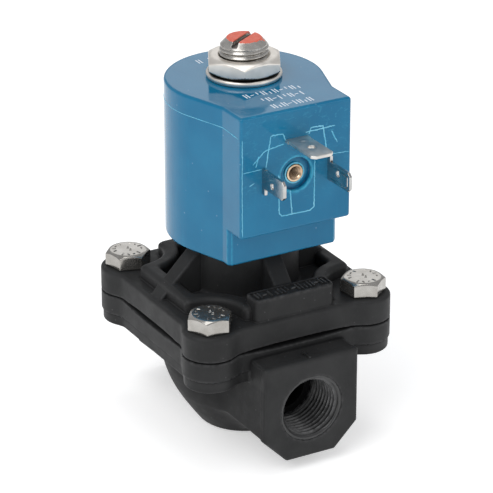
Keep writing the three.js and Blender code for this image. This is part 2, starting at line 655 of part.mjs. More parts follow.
// Bobbin, winding and leads
const BOBBIN = { inner: 6.9, core: 8.0, flange: 12.4, z: [59.0, 84.2], thickness: 1.4 };
const [BOBBIN_LOW, BOBBIN_HIGH] = BOBBIN.z;
add('bobbin', turned([
  [BOBBIN.inner, BOBBIN_LOW], [BOBBIN.flange, BOBBIN_LOW], [BOBBIN.flange, BOBBIN_LOW + BOBBIN.thickness],
  [BOBBIN.core, BOBBIN_LOW + BOBBIN.thickness], [BOBBIN.core, BOBBIN_HIGH - BOBBIN.thickness],
  [BOBBIN.flange, BOBBIN_HIGH - BOBBIN.thickness], [BOBBIN.flange, BOBBIN_HIGH], [BOBBIN.inner, BOBBIN_HIGH],
  [BOBBIN.inner, BOBBIN_LOW],
]), bobbinPlastic);
const WINDING_R = 11.9;
add('winding', ring(
  BOBBIN.core + GAP, WINDING_R, BOBBIN_LOW + BOBBIN.thickness + GAP, BOBBIN_HIGH - BOBBIN.thickness - GAP,
), copper);
for (const [side, blade] of Object.entries(BLADES)) {
  const way = Math.sign(blade.y);
  const lead = [
    new THREE.Vector3(10.4, 6.8 * way, 80.0), new THREE.Vector3(12.6, 7.6 * way, 79.6),
    new THREE.Vector3(14.8, 8.6 * way, 78.4), new THREE.Vector3(16.3, 9.0 * way, 76.8),
  ];
  add(`lead_${side}`, wireAlong(lead, 0.35, 8), copper);
}

/** The magnetic frame: a plate over and under the winding, joined by a curved wall behind it. */
function makeYoke() {
  const outer = CAVITY_R - GAP;
  const inner = outer - 2.2;
  const wall = new THREE.Shape();
  const reach = THREE.MathUtils.degToRad(75);
  wall.absarc(0, 0, outer, Math.PI - reach, Math.PI + reach, false);
  wall.absarc(0, 0, inner, Math.PI + reach, Math.PI - reach, true);
  const [low, high] = [CAVITY_Z[0] + GAP, CAVITY_Z[1] - GAP];
  return join(
    solid(prism(wall, low, high, 0, 10)),
    solid(ring(BOBBIN.inner, outer, low, BOBBIN_LOW - GAP)),
    solid(ring(BOBBIN.inner, outer, BOBBIN_HIGH + GAP, high)),
  );
}

add('yoke_frame', makeYoke(), magneticSteel);

export default valve;
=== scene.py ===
"""Looks of a two-way solenoid valve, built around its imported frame.

Moulded and machined pieces are meshed from signed distance fields, in millimetres, so that every edge is
rounded as on the real parts. Threads, springs and fine marks are swept or turned. All meshes end in metres.
"""

import math

import bpy
import numpy as np
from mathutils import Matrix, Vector


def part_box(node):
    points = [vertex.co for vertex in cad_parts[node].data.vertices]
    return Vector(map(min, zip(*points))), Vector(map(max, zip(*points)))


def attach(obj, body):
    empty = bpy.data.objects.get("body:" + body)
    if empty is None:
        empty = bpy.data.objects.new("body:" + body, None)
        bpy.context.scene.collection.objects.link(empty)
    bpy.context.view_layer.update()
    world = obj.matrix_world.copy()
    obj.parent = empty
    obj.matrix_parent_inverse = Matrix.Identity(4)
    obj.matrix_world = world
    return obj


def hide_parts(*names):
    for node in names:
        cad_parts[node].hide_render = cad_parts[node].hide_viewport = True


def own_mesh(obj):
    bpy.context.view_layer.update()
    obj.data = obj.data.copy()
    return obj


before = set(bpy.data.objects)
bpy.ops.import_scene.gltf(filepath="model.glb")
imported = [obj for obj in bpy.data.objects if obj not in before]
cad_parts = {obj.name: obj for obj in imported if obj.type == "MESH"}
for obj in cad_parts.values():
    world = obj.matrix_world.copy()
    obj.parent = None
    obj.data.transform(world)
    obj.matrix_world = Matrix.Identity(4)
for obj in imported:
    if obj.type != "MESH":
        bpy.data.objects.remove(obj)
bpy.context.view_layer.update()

MM = 0.001
COARSE = 1.0  # how much wider the meshing grid is in quick tries


def box_mm(node):
    """The lowest and highest corners of a CAD node, in millimetres."""
    low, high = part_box(node)
    return low / MM, high / MM


def middle_mm(node):
    low, high = box_mm(node)
    return (low + high) / 2


def linked(name, data):
    """A new object in the scene."""
    obj = bpy.data.objects.new(name, data)
    bpy.context.scene.collection.objects.link(obj)
    return obj


def heading(degrees):
    """The unit vector, as x and y, at an angle from the X axis."""
    return math.cos(math.radians(degrees)), math.sin(math.radians(degrees))


BODY_LOW, BODY_HIGH = box_mm("valve_body")
BONNET_LOW, BONNET_HIGH = box_mm("bonnet")
COIL_LOW, COIL_HIGH = box_mm("coil_housing")
BOLT_NAMES = ("front_left", "front_right", "back_left", "back_right")
BOLT_TURNS = {"front_left": -36, "front_right": -53, "back_left": -48, "back_right": 10}
BOLT_AT = middle_mm("bonnet_bolt_front_right").x  # the bolts' distance from both centre planes

# -------- distance fields, in millimetres


def union(a, b, fillet=0.0):
    """Both shapes, with a fillet of about the given size where they meet."""
    if fillet == 0.0:
        return np.minimum(a, b)
    h = np.maximum(fillet - np.abs(a - b), 0.0) / fillet
    return np.minimum(a, b) - h * h * fillet / 4


def common(a, b, round_edge=0.0):
    return -union(-a, -b, round_edge)


def cut(a, b, round_edge=0.0):
    return common(a, -b, round_edge)


def within(first, *others):
    """Where every distance is negative, with sharp edges."""
    for other in others:
        first = np.maximum(first, other)
    return first


def corner(a, b, r):
    """Where both distances are negative, with a true radius on the outer edge."""
    a, b = a + r, b + r
    return np.minimum(np.maximum(a, b), 0.0) + np.hypot(np.maximum(a, 0.0), np.maximum(b, 0.0)) - r


def rectangle(x, y, half_x, half_y, r=0.0):
    return corner(np.abs(x) - half_x, np.abs(y) - half_y, r)


def slab(section, z, low, high, r=0.0):
    """A section drawn along z from low to high, with rounded ends."""
    return corner(section, np.abs(z - (low + high) / 2) - (high - low) / 2, r)


def polygon(x, y, points):
    """The exact distance to a closed polygon."""
    nearest = None
    inside = False
    for (x0, y0), (x1, y1) in zip(points, points[1:] + points[:1]):
        ex, ey = x1 - x0, y1 - y0
        wx, wy = x - x0, y - y0
        t = np.clip((wx * ex + wy * ey) / (ex * ex + ey * ey), 0.0, 1.0)
        square = (wx - ex * t) ** 2 + (wy - ey * t) ** 2
        nearest = square if nearest is None else np.minimum(nearest, square)
        side = ex * wy - ey * wx
        inside = inside ^ (((y0 <= y) & (y < y1) & (side > 0)) | ((y1 <= y) & (y < y0) & (side < 0)))
    distance = np.sqrt(nearest)
    return np.where(inside, -distance, distance)


def hexagon(x, y, across_flats, turn):
    """A hexagon with a corner at the given angle, in degrees."""
    best = None
    for i in range(3):
        c, s = heading(turn + 30 + 60 * i)
        d = np.abs(x * c + y * s) - across_flats / 2
        best = d if best is None else within(best, d)
    return best


def corner_cone(r, z):
    """The 30 degree cone that turns a hexagon's corners off, from a point at the given radius and height."""
    angle = math.radians(30)
    return (z + r * math.tan(angle)) * math.cos(angle)


def tooth(phase, flat=0.12):
    """A thread's profile over one pitch: 0 at the root and 1 at the crest."""
    wave = np.abs((phase % 1.0) * 2 - 1)
    return np.clip((wave - flat) / (1 - 2 * flat), 0.0, 1.0)


def turns_round(y, x):
    """The angle of a point, in turns."""
    return np.arctan2(y, x) / (2 * math.pi)


def from_bolts(x, y):
    """The distance to the nearest bolt's axis."""
    return np.hypot(np.abs(x) - BOLT_AT, np.abs(y) - BOLT_AT)


# -------- meshing


def slope(field, p):
    """The field's value and its gradient at points."""
    reach = 0.02
    grad = np.empty_like(p)
    for axis in range(3):
        ahead, behind = p.copy(), p.copy()
        ahead[:, axis] += reach
        behind[:, axis] -= reach
        grad[:, axis] = (field(*ahead.T) - field(*behind.T)) / (2 * reach)
    return field(*p.T), grad


def surface(field, low, high, step):
    """Points, quads and normals of the surface where the field is zero, one point to a crossed grid cell."""
    step = step * COARSE
    margin = 1.5 * step
    low = np.array(low, float) - margin
    count = np.ceil((np.array(high, float) + margin - low) / step).astype(int) + 1
    x, y, z = (low[i] + step * np.arange(count[i]) for i in range(3))
    values = field(x[:, None, None], y[None, :, None], z[None, None, :])
    values = np.broadcast_to(values, count).astype(np.float32)
    solid = values < 0
    total = sum(
        solid[i:count[0] - 1 + i, j:count[1] - 1 + j, k:count[2] - 1 + k].astype(np.int8)
        for i in (0, 1) for j in (0, 1) for k in (0, 1)
    )
    active = (total > 0) & (total < 8)
    cells = np.argwhere(active)
    index = np.full(active.shape, -1)
    index[active] = np.arange(len(cells))

    offset = np.zeros((len(cells), 3))
    crossings = np.zeros(len(cells))
    for axis in range(3):
        u, v = (axis + 1) % 3, (axis + 2) % 3
        for du in (0, 1):
            for dv in (0, 1):
                start = np.zeros(3, int)
                start[u], start[v] = du, dv
                end = start.copy()
                end[axis] = 1
                a = values[tuple((cells + start).T)]
                b = values[tuple((cells + end).T)]
                hit = (a < 0) != (b < 0)
                t = a[hit] / (a[hit] - b[hit])
                at = np.repeat(start[None, :].astype(float), hit.sum(), 0)
                at[:, axis] = t
                offset[hit] += at
                crossings[hit] += 1

    # Points start in the middle of their cell's crossings and are drawn on to the surface.
    first = low + step * (cells + offset / crossings[:, None])
    points = first.copy()
    least_square, furthest = 0.05, 0.6 * step
    for _ in range(3):
        value, grad = slope(field, points)
        square = np.maximum((grad ** 2).sum(1), least_square)
        points -= grad * (value / square)[:, None]
        points = first + np.clip(points - first, -furthest, furthest)
    _, grad = slope(field, points)
    normals = grad / np.maximum(np.linalg.norm(grad, axis=1), 1e-9)[:, None]

    quads = []
    for axis in range(3):
        u, v = (axis + 1) % 3, (axis + 2) % 3
        before = solid.take(range(0, count[axis] - 1), axis)
        after = solid.take(range(1, count[axis]), axis)
        edges = np.argwhere(before != after)
        back_u, back_v = np.zeros(3, int), np.zeros(3, int)
        back_u[u], back_v[v] = 1, 1
        ring = [index[tuple((edges - s).T)] for s in (back_u + back_v, back_v, 0 * back_u, back_u)]
        ring = np.stack(ring, 1)
        inwards = ~before[tuple(edges.T)]
        ring[inwards] = ring[inwards][:, ::-1]
        quads.append(ring)
    return points, np.concatenate(quads), normals


def edge_wear_and_shade(field, points, normals, reach=0.7):
    """How convex and how concave the surface is at each point, from 0 to 1. The concave share is the mask for
    painted shade in hollows and creases.

    On a flat face the field changes by the reach, either way. The gains leave flat faces at 0.
    """
    inward = field(*(points - normals * reach).T)
    outward = field(*(points + normals * reach).T)
    return {
        "edge": np.clip((inward + reach) / reach * 2.5 - 0.1, 0.0, 1.0),
        "painted_shade": np.clip((reach - outward) / reach * 1.6 - 0.25, 0.0, 1.0),
    }


def piece(name, points, faces, look, body, slot, stands_for=(), normals=None, data=None, sharp=None):
    """A mesh object from points in millimetres, riding on a body."""
    mesh = bpy.data.meshes.new(name)
    mesh.from_pydata((np.asarray(points) * MM).tolist(), [], [list(map(int, f)) for f in faces])
    mesh.shade_smooth()
    if sharp is not None:
        mesh.set_sharp_from_angle(angle=math.radians(sharp))
    if normals is not None:
        mesh.normals_split_custom_set_from_vertices(normals.tolist())
    for key, values in (data or {}).items():
        mesh.attributes.new(key, "FLOAT", "POINT").data.foreach_set("value", values.astype(np.float32))
    mesh.materials.append(look)
    obj = linked(name, mesh)
    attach(obj, body)
    if stands_for:
        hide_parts(*stands_for)
    return obj


def carved(name, field, low, high, step, look, body, slot, stands_for):
    """A piece meshed from a distance field."""
    points, quads, normals = surface(field, low, high, step)
    wear_and_shade = edge_wear_and_shade(field, points, normals)
    return piece(name, points, quads, look, body, slot, stands_for, normals, wear_and_shade)


def skin(rings, sides, closed=True):
    """Quads from ring to ring of points. The last ring joins the first, or both ends are flat."""
    faces = []
    for i in range(rings if closed else rings - 1):
        ring, after = i * sides, (i + 1) % rings * sides
        for j in range(sides):
            k = (j + 1) % sides
            faces.append((ring + j, ring + k, after + k, after + j))
    if not closed:
        faces.append(tuple(range(sides))[::-1])
        faces.append(tuple((rings - 1) * sides + j for j in range(sides)))
    return faces


def tube(points, radius, sides=10, flatten=None, closed=False):
    """Vertices and faces of round wire along a line.

    The radius may vary along it. flatten is a direction and the share of the wire's height left in it.
    """
    p = np.asarray(points, float)
    n = len(p)
    radii = np.broadcast_to(np.asarray(radius, float), n)
    if closed:
        along = np.roll(p, -1, 0) - np.roll(p, 1, 0)
    else:
        along = np.gradient(p, axis=0)
    along /= np.linalg.norm(along, axis=1)[:, None]
    up = np.array(flatten[0] if flatten else (0.3, 0.2, 0.93), float)
    side = np.cross(along, up)
    side /= np.linalg.norm(side, axis=1)[:, None]
    top = np.cross(side, along)
    squeeze = flatten[1] if flatten else 1.0
    angles = 2 * np.pi * np.arange(sides) / sides
    rings = [
        p[i] + radii[i] * (np.cos(angles)[:, None] * side[i] + squeeze * np.sin(angles)[:, None] * top[i])
        for i in range(n)
    ]
    return np.concatenate(rings), skin(n, sides, closed)


def gathered(parts):
    """Several sets of vertices and faces as one."""
    verts, faces, base = [], [], 0
    for v, f in parts:
        verts.append(v)
        faces += [tuple(i + base for i in face) for face in f]
        base += len(v)
    return np.concatenate(verts), faces


def helix(r0, r1, z0, z1, turns, per_turn=40, end_turns=0.75, end_rise=0.08):
    """Points of a spring's wire, with nearly flat turns at both ends."""
    t = np.linspace(0, 1, int(turns * per_turn) + 1)
    share = end_turns / turns
    rise = np.clip((t - share) / (1 - 2 * share), 0, 1)
    rise = end_rise * t + (1 - end_rise) * rise * rise * (3 - 2 * rise)
    angle = 2 * np.pi * turns * t
    r = r0 + (r1 - r0) * t
    return np.stack([r * np.cos(angle), r * np.sin(angle), z0 + (z1 - z0) * rise], 1)


def revolved(profile, segments):
    """A closed profile of (radius, z) turned round Z. A radius may be an array over the segments."""
    angles = 2 * np.pi * np.arange(segments) / segments
    rows = []
    for r, z in profile:
        r = np.broadcast_to(np.asarray(r, float), segments)
        rows.append(np.stack([r * np.cos(angles), r * np.sin(angles), np.full(segments, float(z))], 1))
    return np.concatenate(rows), skin(len(rows), segments)


def pad(outline, origin, across, up, low, high, inset):
    """A small raised pad: a flat outline with a chamfered top, on the plane through origin."""
    across, up = np.array(across, float), np.array(up, float)
    normal = np.cross(across, up)
    flat = np.array(outline, float)
    centre = flat.mean(0)
    small = centre + (flat - centre) * (1 - inset / np.linalg.norm(flat - centre, axis=1).mean())
    chamfer = (high - low) * 0.3
    rows = [(flat, low), (flat, high - chamfer), (small, high)]
    verts = [np.array(origin, float) + s[:, :1] * across + s[:, 1:] * up + h * normal for s, h in rows]
    return np.concatenate(verts), skin(len(rows), len(flat), False)


def traced(dots, least, spacing=math.inf):
    """Points along straight runs between dots: at least so many in each run, or one per spacing."""
    dots = np.array(dots, float)
    runs = []
    for a, b in zip(dots, dots[1:]):
        runs.append(np.linspace(a, b, max(least, int(np.linalg.norm(b - a) / spacing)), endpoint=False))
    return np.concatenate(runs + [dots[-1:]])


# -------- materials


class Look:
    """A material's node tree. Coordinates are the object's own, in millimetres."""

    def __init__(self, name, fixed):
        self.material = bpy.data.materials.new(name)
        self.material.use_nodes = True
        self.tree = self.material.node_tree
        self.tree.nodes.clear()
        output = self.add("OutputMaterial")
        self.shader = self.add("BsdfPrincipled", fixed)
        self.tree.links.new(self.shader.outputs[0], output.inputs[0])
        place = self.add("TexCoord").outputs["Object"]
        scaled = self.add("VectorMath", {0: place, 1: (1000.0, 1000.0, 1000.0)}, operation="MULTIPLY")
        self.place = scaled.outputs[0]
        self.normal = None

    def add(self, kind, inputs=None, **settings):
        node = self.tree.nodes.new("ShaderNode" + kind)
        for key, value in settings.items():
            setattr(node, key, value)
        for key, value in (inputs or {}).items():
            if isinstance(value, bpy.types.NodeSocket):
                self.tree.links.new(value, node.inputs[key])
            else:
                node.inputs[key].default_value = value
        return node

    def stretched(self, x, y, z):
        return self.add("VectorMath", {0: self.place, 1: (x, y, z)}, operation="MULTIPLY").outputs[0]

    def noise(self, scale, detail, place=None, roughness=0.55, distortion=0.0):
        node = self.add("TexNoise", {
            "Vector": place or self.place, "Scale": scale, "Detail": detail, "Roughness": roughness,
            "Distortion": distortion,
        })
        return node.outputs[0]

    def specks(self, scale, size):
        """Small round specks at the middle of about a third of a pattern's cells."""
        cell = self.add("TexVoronoi", {"Vector": self.place, "Scale": scale})
        near = self.span(cell.outputs["Distance"], size, size * 0.4)
        pick = self.span(self.add("SeparateColor", {0: cell.outputs["Color"]}).outputs[0], 0.62, 0.7)
        return self.times(near, pick)

    def data(self, name):
        return self.add("Attribute", attribute_name=name).outputs["Fac"]

    def span(self, value, low, high, out_low=0.0, out_high=1.0):
        """The value mapped from one range to another, and held to it."""
        return self.add("MapRange", {0: value, 1: low, 2: high, 3: out_low, 4: out_high}).outputs[0]

    def math(self, operation, a, b=0.0):
        return self.add("Math", {0: a, 1: b}, operation=operation).outputs[0]

    def times(self, a, b):
        return self.math("MULTIPLY", a, b)

    def plus(self, a, b):
        return self.math("ADD", a, b)

    def mix(self, share, a, b):
        """Two colours mixed."""
        a = a if isinstance(a, bpy.types.NodeSocket) else (*a, 1.0)
        b = b if isinstance(b, bpy.types.NodeSocket) else (*b, 1.0)
        return self.add("Mix", {0: share, 6: a, 7: b}, data_type="RGBA").outputs[2]

    def split(self):
        return self.add("SeparateXYZ", {0: self.place}).outputs

    def radius(self, x, y):
        return self.math("SQRT", self.plus(self.math("POWER", x, 2.0), self.math("POWER", y, 2.0)))

    def tint(self, colour, share, strength, to):
        """The colour mixed with another where the share is high."""
        return self.mix(self.times(share, strength), colour, to)

    def bump(self, height, depth):
        """Adds relief of the given depth in millimetres."""
        inputs = {"Height": height, "Strength": 1.0, "Distance": depth * MM}
        if self.normal is not None:
            inputs["Normal"] = self.normal
        self.normal = self.add("Bump", inputs).outputs[0]

    def finish(self, **links):
        for key, value in links.items():
            self.tree.links.new(value, self.shader.inputs[key.replace("_", " ")])
        if self.normal is not None:
            self.tree.links.new(self.normal, self.shader.inputs["Normal"])
        return self.material


def moulded_black(name, sheen=0.0, gloss=0.2, wear_and_painted_light=0.06):
    """Glass-filled black plastic: satin, faintly mottled, paler at edges from rubbing, a little dusty, with
    painted shade in hollows. A bright edge colour, as on the relief, makes the pale edges a painted
    highlight.
    """
    look = Look(name, {"IOR": 1.5})
    cloud = look.noise(0.11, 4.0)
    grain = look.noise(7.0, 2.0)
    fibres = look.noise(2.2, 5.0, look.stretched(1.0, 1.0, 0.35), 0.65)
    colour = look.mix(look.span(cloud, 0.35, 0.7), (0.0185, 0.0188, 0.0192), (0.0275, 0.0278, 0.0282))
    colour = look.mix(look.span(fibres, 0.56, 0.78, 0.0, 0.5), colour, (0.036, 0.036, 0.037))
    # Pale edges: rubbing at the plain edge colour, a painted highlight at the relief's bright one.
    pale_edges = look.times(look.data("edge"), look.span(look.noise(0.9, 6.0), 0.38, 0.66))
    colour = look.tint(colour, pale_edges, 0.6, (wear_and_painted_light, wear_and_painted_light, 1.03 * wear_and_painted_light))
    # Painted shade: hollows and creases are darkened.
    colour = look.tint(colour, look.data("painted_shade"), 0.6, (0.006, 0.006, 0.0065))
    scratch = look.span(look.noise(1.6, 7.0, look.stretched(0.22, 2.6, 1.1), 0.7), 0.66, 0.74)
    colour = look.tint(colour, scratch, 0.35, (0.05, 0.05, 0.052))
    colour = look.tint(colour, look.specks(0.55, 0.11), 0.5, (0.16, 0.16, 0.16))
    rough = look.span(look.noise(0.35, 5.0), 0.3, 0.72, 0.46 + sheen, 0.6 + sheen)
    rough = look.plus(rough, look.times(scratch, 0.1))
    look.bump(grain, 0.01)
    look.bump(look.noise(0.5, 3.0), 0.02)
    look.bump(scratch, 0.005)
    gloss = look.span(look.data("painted_shade"), 0.0, 1.0, gloss, 0.04)
    return look.finish(Base_Color=colour, Roughness=rough, Specular_IOR_Level=gloss)


def moulded_blue():
    """Glossy blue encapsulation: even colour, faint flow marks, edges pale from rubbing, fine scratches and
    painted shade in hollows.
    """
    look = Look("blue_plastic", {"IOR": 1.5, "Specular IOR Level": 0.29})
    cloud = look.noise(0.07, 3.0)
    flow = look.noise(0.5, 6.0, look.stretched(1.0, 1.0, 0.12), 0.6, 0.8)
    colour = look.mix(look.span(cloud, 0.35, 0.68), (0.004, 0.140, 0.280), (0.008, 0.168, 0.318))
    colour = look.mix(look.span(flow, 0.58, 0.78, 0.0, 0.3), colour, (0.012, 0.215, 0.375))
    pale_edges = look.times(look.data("edge"), look.span(look.noise(0.8, 5.0), 0.28, 0.55))
    colour = look.tint(colour, pale_edges, 0.75, (0.05, 0.42, 0.62))
    # Painted shade: hollows and creases are darkened towards navy.
    colour = look.tint(colour, look.data("painted_shade"), 0.8, (0.002, 0.05, 0.14))
    scratch = look.span(look.noise(1.1, 8.0, look.stretched(1.0, 1.0, 0.1), 0.72), 0.68, 0.75)
    colour = look.tint(colour, scratch, 0.3, (0.09, 0.36, 0.50))
    x, _, z = look.split()
    front = look.times(look.span(x, 23.0, 24.0), look.span(z, 66.0, 74.0))
    scuffs = look.span(look.noise(0.9, 5.0, look.stretched(1.0, 0.5, 1.0), 0.65, 1.5), 0.56, 0.72, 0.0, 0.4)
    colour = look.tint(colour, front, scuffs, (0.05, 0.36, 0.55))
    colour = look.tint(colour, look.specks(0.4, 0.1), 0.35, (0.35, 0.5, 0.62))
    rough = look.span(look.noise(0.25, 5.0), 0.3, 0.7, 0.06, 0.12)
    rough = look.plus(rough, look.times(scratch, 0.15))
    look.bump(look.noise(0.12, 2.0), 0.04)
    look.bump(scratch, 0.003)
    return look.finish(Base_Color=colour, Roughness=rough)


def bare_metal(name, dark, light, rough=(0.16, 0.32), turned_marks=0.0, tarnish=None, metallic=1.0):
    """Metal with turning marks of a given depth, faint stains, small nicks and painted shade in hollows."""
    look = Look(name, {"Metallic": metallic})
    colour = look.mix(look.span(look.noise(0.35, 1.5), 0.35, 0.7), dark, light)
    if tarnish:
        stain = look.span(look.noise(0.5, 1.5), 0.5, 0.8, 0.0, 0.5)
        colour = look.mix(stain, colour, tarnish)
    # Painted shade: hollows and creases are darkened to a dark copy of the metal's colour.
    colour = look.tint(colour, look.data("painted_shade"), 0.92, tuple(0.12 * c for c in dark))
    nicks = look.specks(0.6, 0.1)
    value = look.span(look.noise(0.7, 1.5), 0.3, 0.7, *rough)
    value = look.plus(value, look.times(nicks, 0.2))
    if turned_marks:
        x, y, z = look.split()
        rings = look.add("CombineXYZ", {0: look.radius(x, y), 1: z}).outputs[0]
        look.bump(look.noise(4.0, 3.0, rings), turned_marks)
    look.bump(nicks, -0.002)
    look.bump(look.noise(0.25, 1.0), 0.003)
    return look.finish(Base_Color=colour, Roughness=value)


def soft_rubber(name):
    """Matt black rubber with a few pale specks."""
    look = Look(name, {"Specular IOR Level": 0.3})
    colour = look.mix(look.span(look.noise(0.6, 5.0), 0.35, 0.7), (0.008, 0.008, 0.008), (0.02, 0.02, 0.021))
    colour = look.mix(look.specks(0.9, 0.15), colour, (0.09, 0.09, 0.085))
    rough = look.span(look.noise(2.0, 4.0), 0.3, 0.7, 0.62, 0.82)
    look.bump(look.noise(5.0, 3.0), 0.015)
    return look.finish(Base_Color=colour, Roughness=rough)


def pale_plastic(name, dark, light):
    """Plain plastic or ink with a soft, even grain."""
    look = Look(name, {"IOR": 1.5})
    colour = look.mix(look.span(look.noise(0.3, 4.0), 0.3, 0.7), dark, light)
    rough = look.span(look.noise(1.2, 4.0), 0.3, 0.7, 0.42, 0.6)
    look.bump(look.noise(4.0, 3.0), 0.01)
    return look.finish(Base_Color=colour, Roughness=rough)


def wound_copper():
    """Enamelled copper wire laid in turns."""
    look = Look("copper", {"Metallic": 1.0, "Coat Weight": 0.4, "Coat Roughness": 0.15})
    turns = look.add("TexWave", {"Vector": look.place, "Scale": 1.15, "Distortion": 0.3}, bands_direction="Z")
    colour = look.mix(look.span(look.noise(0.4, 4.0), 0.3, 0.7), (0.42, 0.14, 0.05), (0.62, 0.25, 0.10))
    # Painted shade: darker between the turns of wire.
    colour = look.mix(look.span(turns.outputs[1], 0.0, 0.35, 0.8, 0.0), colour, (0.12, 0.035, 0.015))
    rough = look.span(look.noise(1.5, 4.0), 0.3, 0.7, 0.25, 0.4)
    look.bump(turns.outputs[1], 0.12)
    return look.finish(Base_Color=colour, Roughness=rough)


def painted_stud(top):
    """Turned steel, with red sealing paint on its top face that has run a little over the rim."""
    look = Look("stud_steel", {"IOR": 1.5})
    x, y, z = look.split()
    steel = look.mix(look.span(look.noise(0.5, 1.5), 0.35, 0.7), (0.47, 0.45, 0.42), (0.60, 0.58, 0.55))
    # Painted shade: the steel is darkened in hollows and thread roots.
    steel = look.tint(steel, look.data("painted_shade"), 0.75, (0.08, 0.075, 0.07))
    run = look.times(look.span(y, 1.5, 4.5), look.span(look.noise(0.9, 3.0), 0.42, 0.6, 0.0, 0.9))
    wander = look.span(look.noise(1.2, 3.0), 0.3, 0.7, -0.1, 0.1)
    ragged = look.plus(wander, look.plus(z, run))
    paint = look.span(ragged, top - 0.3, top - 0.22)
    paint = look.times(paint, look.span(z, top - 1.3, top - 1.1))
    paint = look.times(paint, look.span(look.radius(x, y), 5.7, 5.6))
    red = look.mix(look.span(look.noise(1.3, 5.0), 0.3, 0.7), (0.66, 0.095, 0.052), (0.76, 0.155, 0.095))
    colour = look.mix(paint, steel, red)
    metal = look.math("SUBTRACT", 1.0, paint)
    rough = look.span(look.noise(0.7, 1.5), 0.3, 0.7, 0.2, 0.3)
    rough = look.plus(rough, look.times(paint, 0.22))
    look.bump(look.noise(0.8, 2.0), 0.003)
    look.bump(paint, 0.04)
    return look.finish(Base_Color=colour, Roughness=rough, Metallic=metal)


BLACK = moulded_black("black_plastic")
# The relief's bright edge colour is a painted highlight on thread crests and ornament tops.
BLACK_MARK = moulded_black("black_plastic_relief", -0.18, 0.6, 0.2)
BLUE = moulded_blue()
STEEL = bare_metal(
    "bolt_steel", (0.36, 0.345, 0.32), (0.45, 0.435, 0.41), (0.12, 0.18),
    tarnish=(0.33, 0.315, 0.29), metallic=0.88,
)
STEEL_INNER = bare_metal("stainless_steel", (0.52, 0.51, 0.49), (0.66, 0.65, 0.63), (0.2, 0.34), 0.002)
NICKEL = bare_metal("nickel_plate", (0.80, 0.76, 0.70), (0.92, 0.875, 0.815), (0.38, 0.46), 0.0008)
TIN = bare_metal("tinned_metal", (0.46, 0.46, 0.45), (0.56, 0.56, 0.55), (0.17, 0.24))
TIN_DULL = bare_metal("dull_tinned_metal", (0.60, 0.585, 0.55), (0.70, 0.685, 0.65), (0.36, 0.46))
BRASS = bare_metal(
    "brass", (0.54, 0.38, 0.25), (0.74, 0.56, 0.40), (0.24, 0.36), 0.002, tarnish=(0.28, 0.16, 0.08),
)
IRON = bare_metal(
    "magnetic_steel", (0.34, 0.34, 0.335), (0.48, 0.48, 0.47), (0.3, 0.46), 0.002, tarnish=(0.26, 0.22, 0.18),
)
RUBBER = soft_rubber("rubber")
COPPER = wound_copper()
BOBBIN = pale_plastic("bobbin_plastic", (0.55, 0.50, 0.38), (0.68, 0.63, 0.52))
PRINT = pale_plastic("pale_print", (0.62, 0.70, 0.80), (0.74, 0.82, 0.90))
PALE_BEAD = pale_plastic("pale_blue_flash_and_highlight", (0.06, 0.40, 0.60), (0.20, 0.58, 0.76))

# -------- flanges, body and ports

FLANGE_HALF, LOBE_R = 26.5, 6.9
FLANGE_FOOT, SKIRT = 26.2, (23.2, 28.0)  # the skirt is the slightly smaller rim under the flange
BONNET_FACE = BONNET_LOW.z
GROOVE = 2.5  # how far the gap between the flanges reaches in
PORT_Z, BORE_R, PASSAGE_R = 16.0, 8.5, 5.5
FACE_X = BODY_HIGH.x
COLLAR_X, SOCKET_X, NECK_X = FACE_X - 3.0, FACE_X - 13.0, 32.0
THREAD_MINOR, THREAD_DEPTH, THREAD_PITCH = 7.2, 1.0, 1.34
PILOT_X, PILOT_R = 19.6, 0.7  # the pilot passage, from above the diaphragm to the outlet
CHAMBER_R, CHAMBER_FLOOR = (8.4, 16.6), 9.5  # the inlet's ring-shaped chamber round the nozzle
BRIDGE_X, BRIDGE_Y, BRIDGE_TOP = 9.3, 7.5, 23.5  # what crosses the chamber to carry the outlet
INLET_END = 10.4
BOWL_TOP = 24.2
BOWL_CURVE = np.polynomial.Polynomial.fit(
    [0, 3.1, 7.7, 12.4, 17.0, BOWL_TOP], [11.5, 13.8, 16.9, 19.3, 20.7, 20.9], 4
)
BOWL_SLOPE = BOWL_CURVE.deriv()
# Round bores from the flange down: radius, floor and how round the edges are.
BODY_BORES = ((19.0, 29.5, 0.2), (9.4, 27.3, 0.0), (6.0, 15.0, 0.3))


def flange(x, y):
    """The square outline with a round lobe at each bolt."""
    return union(rectangle(x, y, FLANGE_HALF, FLANGE_HALF, 4.0), from_bolts(x, y) - LOBE_R, 1.4)


def side_gap(x, y):
    """Half of the gap that the flanges leave between the lobes, widest at the middle of each side."""
    return 0.5 * np.clip(1.15 - (np.minimum(np.abs(x), np.abs(y)) / 15.5) ** 2, 0.0, 1.0)


def boss(y, z, inset):
    """A port's section: square with its two lower corners cut off."""
    blunt = 0.45
    half, low, high, chamfer = 13.17 - inset - blunt, 3.0 + inset + blunt, 29.25 - inset - blunt, 6.13
    outline = [
        (-half + chamfer, low), (half - chamfer, low), (half, low + chamfer), (half, high), (-half, high),
        (-half, low + chamfer),
    ]
    return polygon(y, z, outline) - blunt


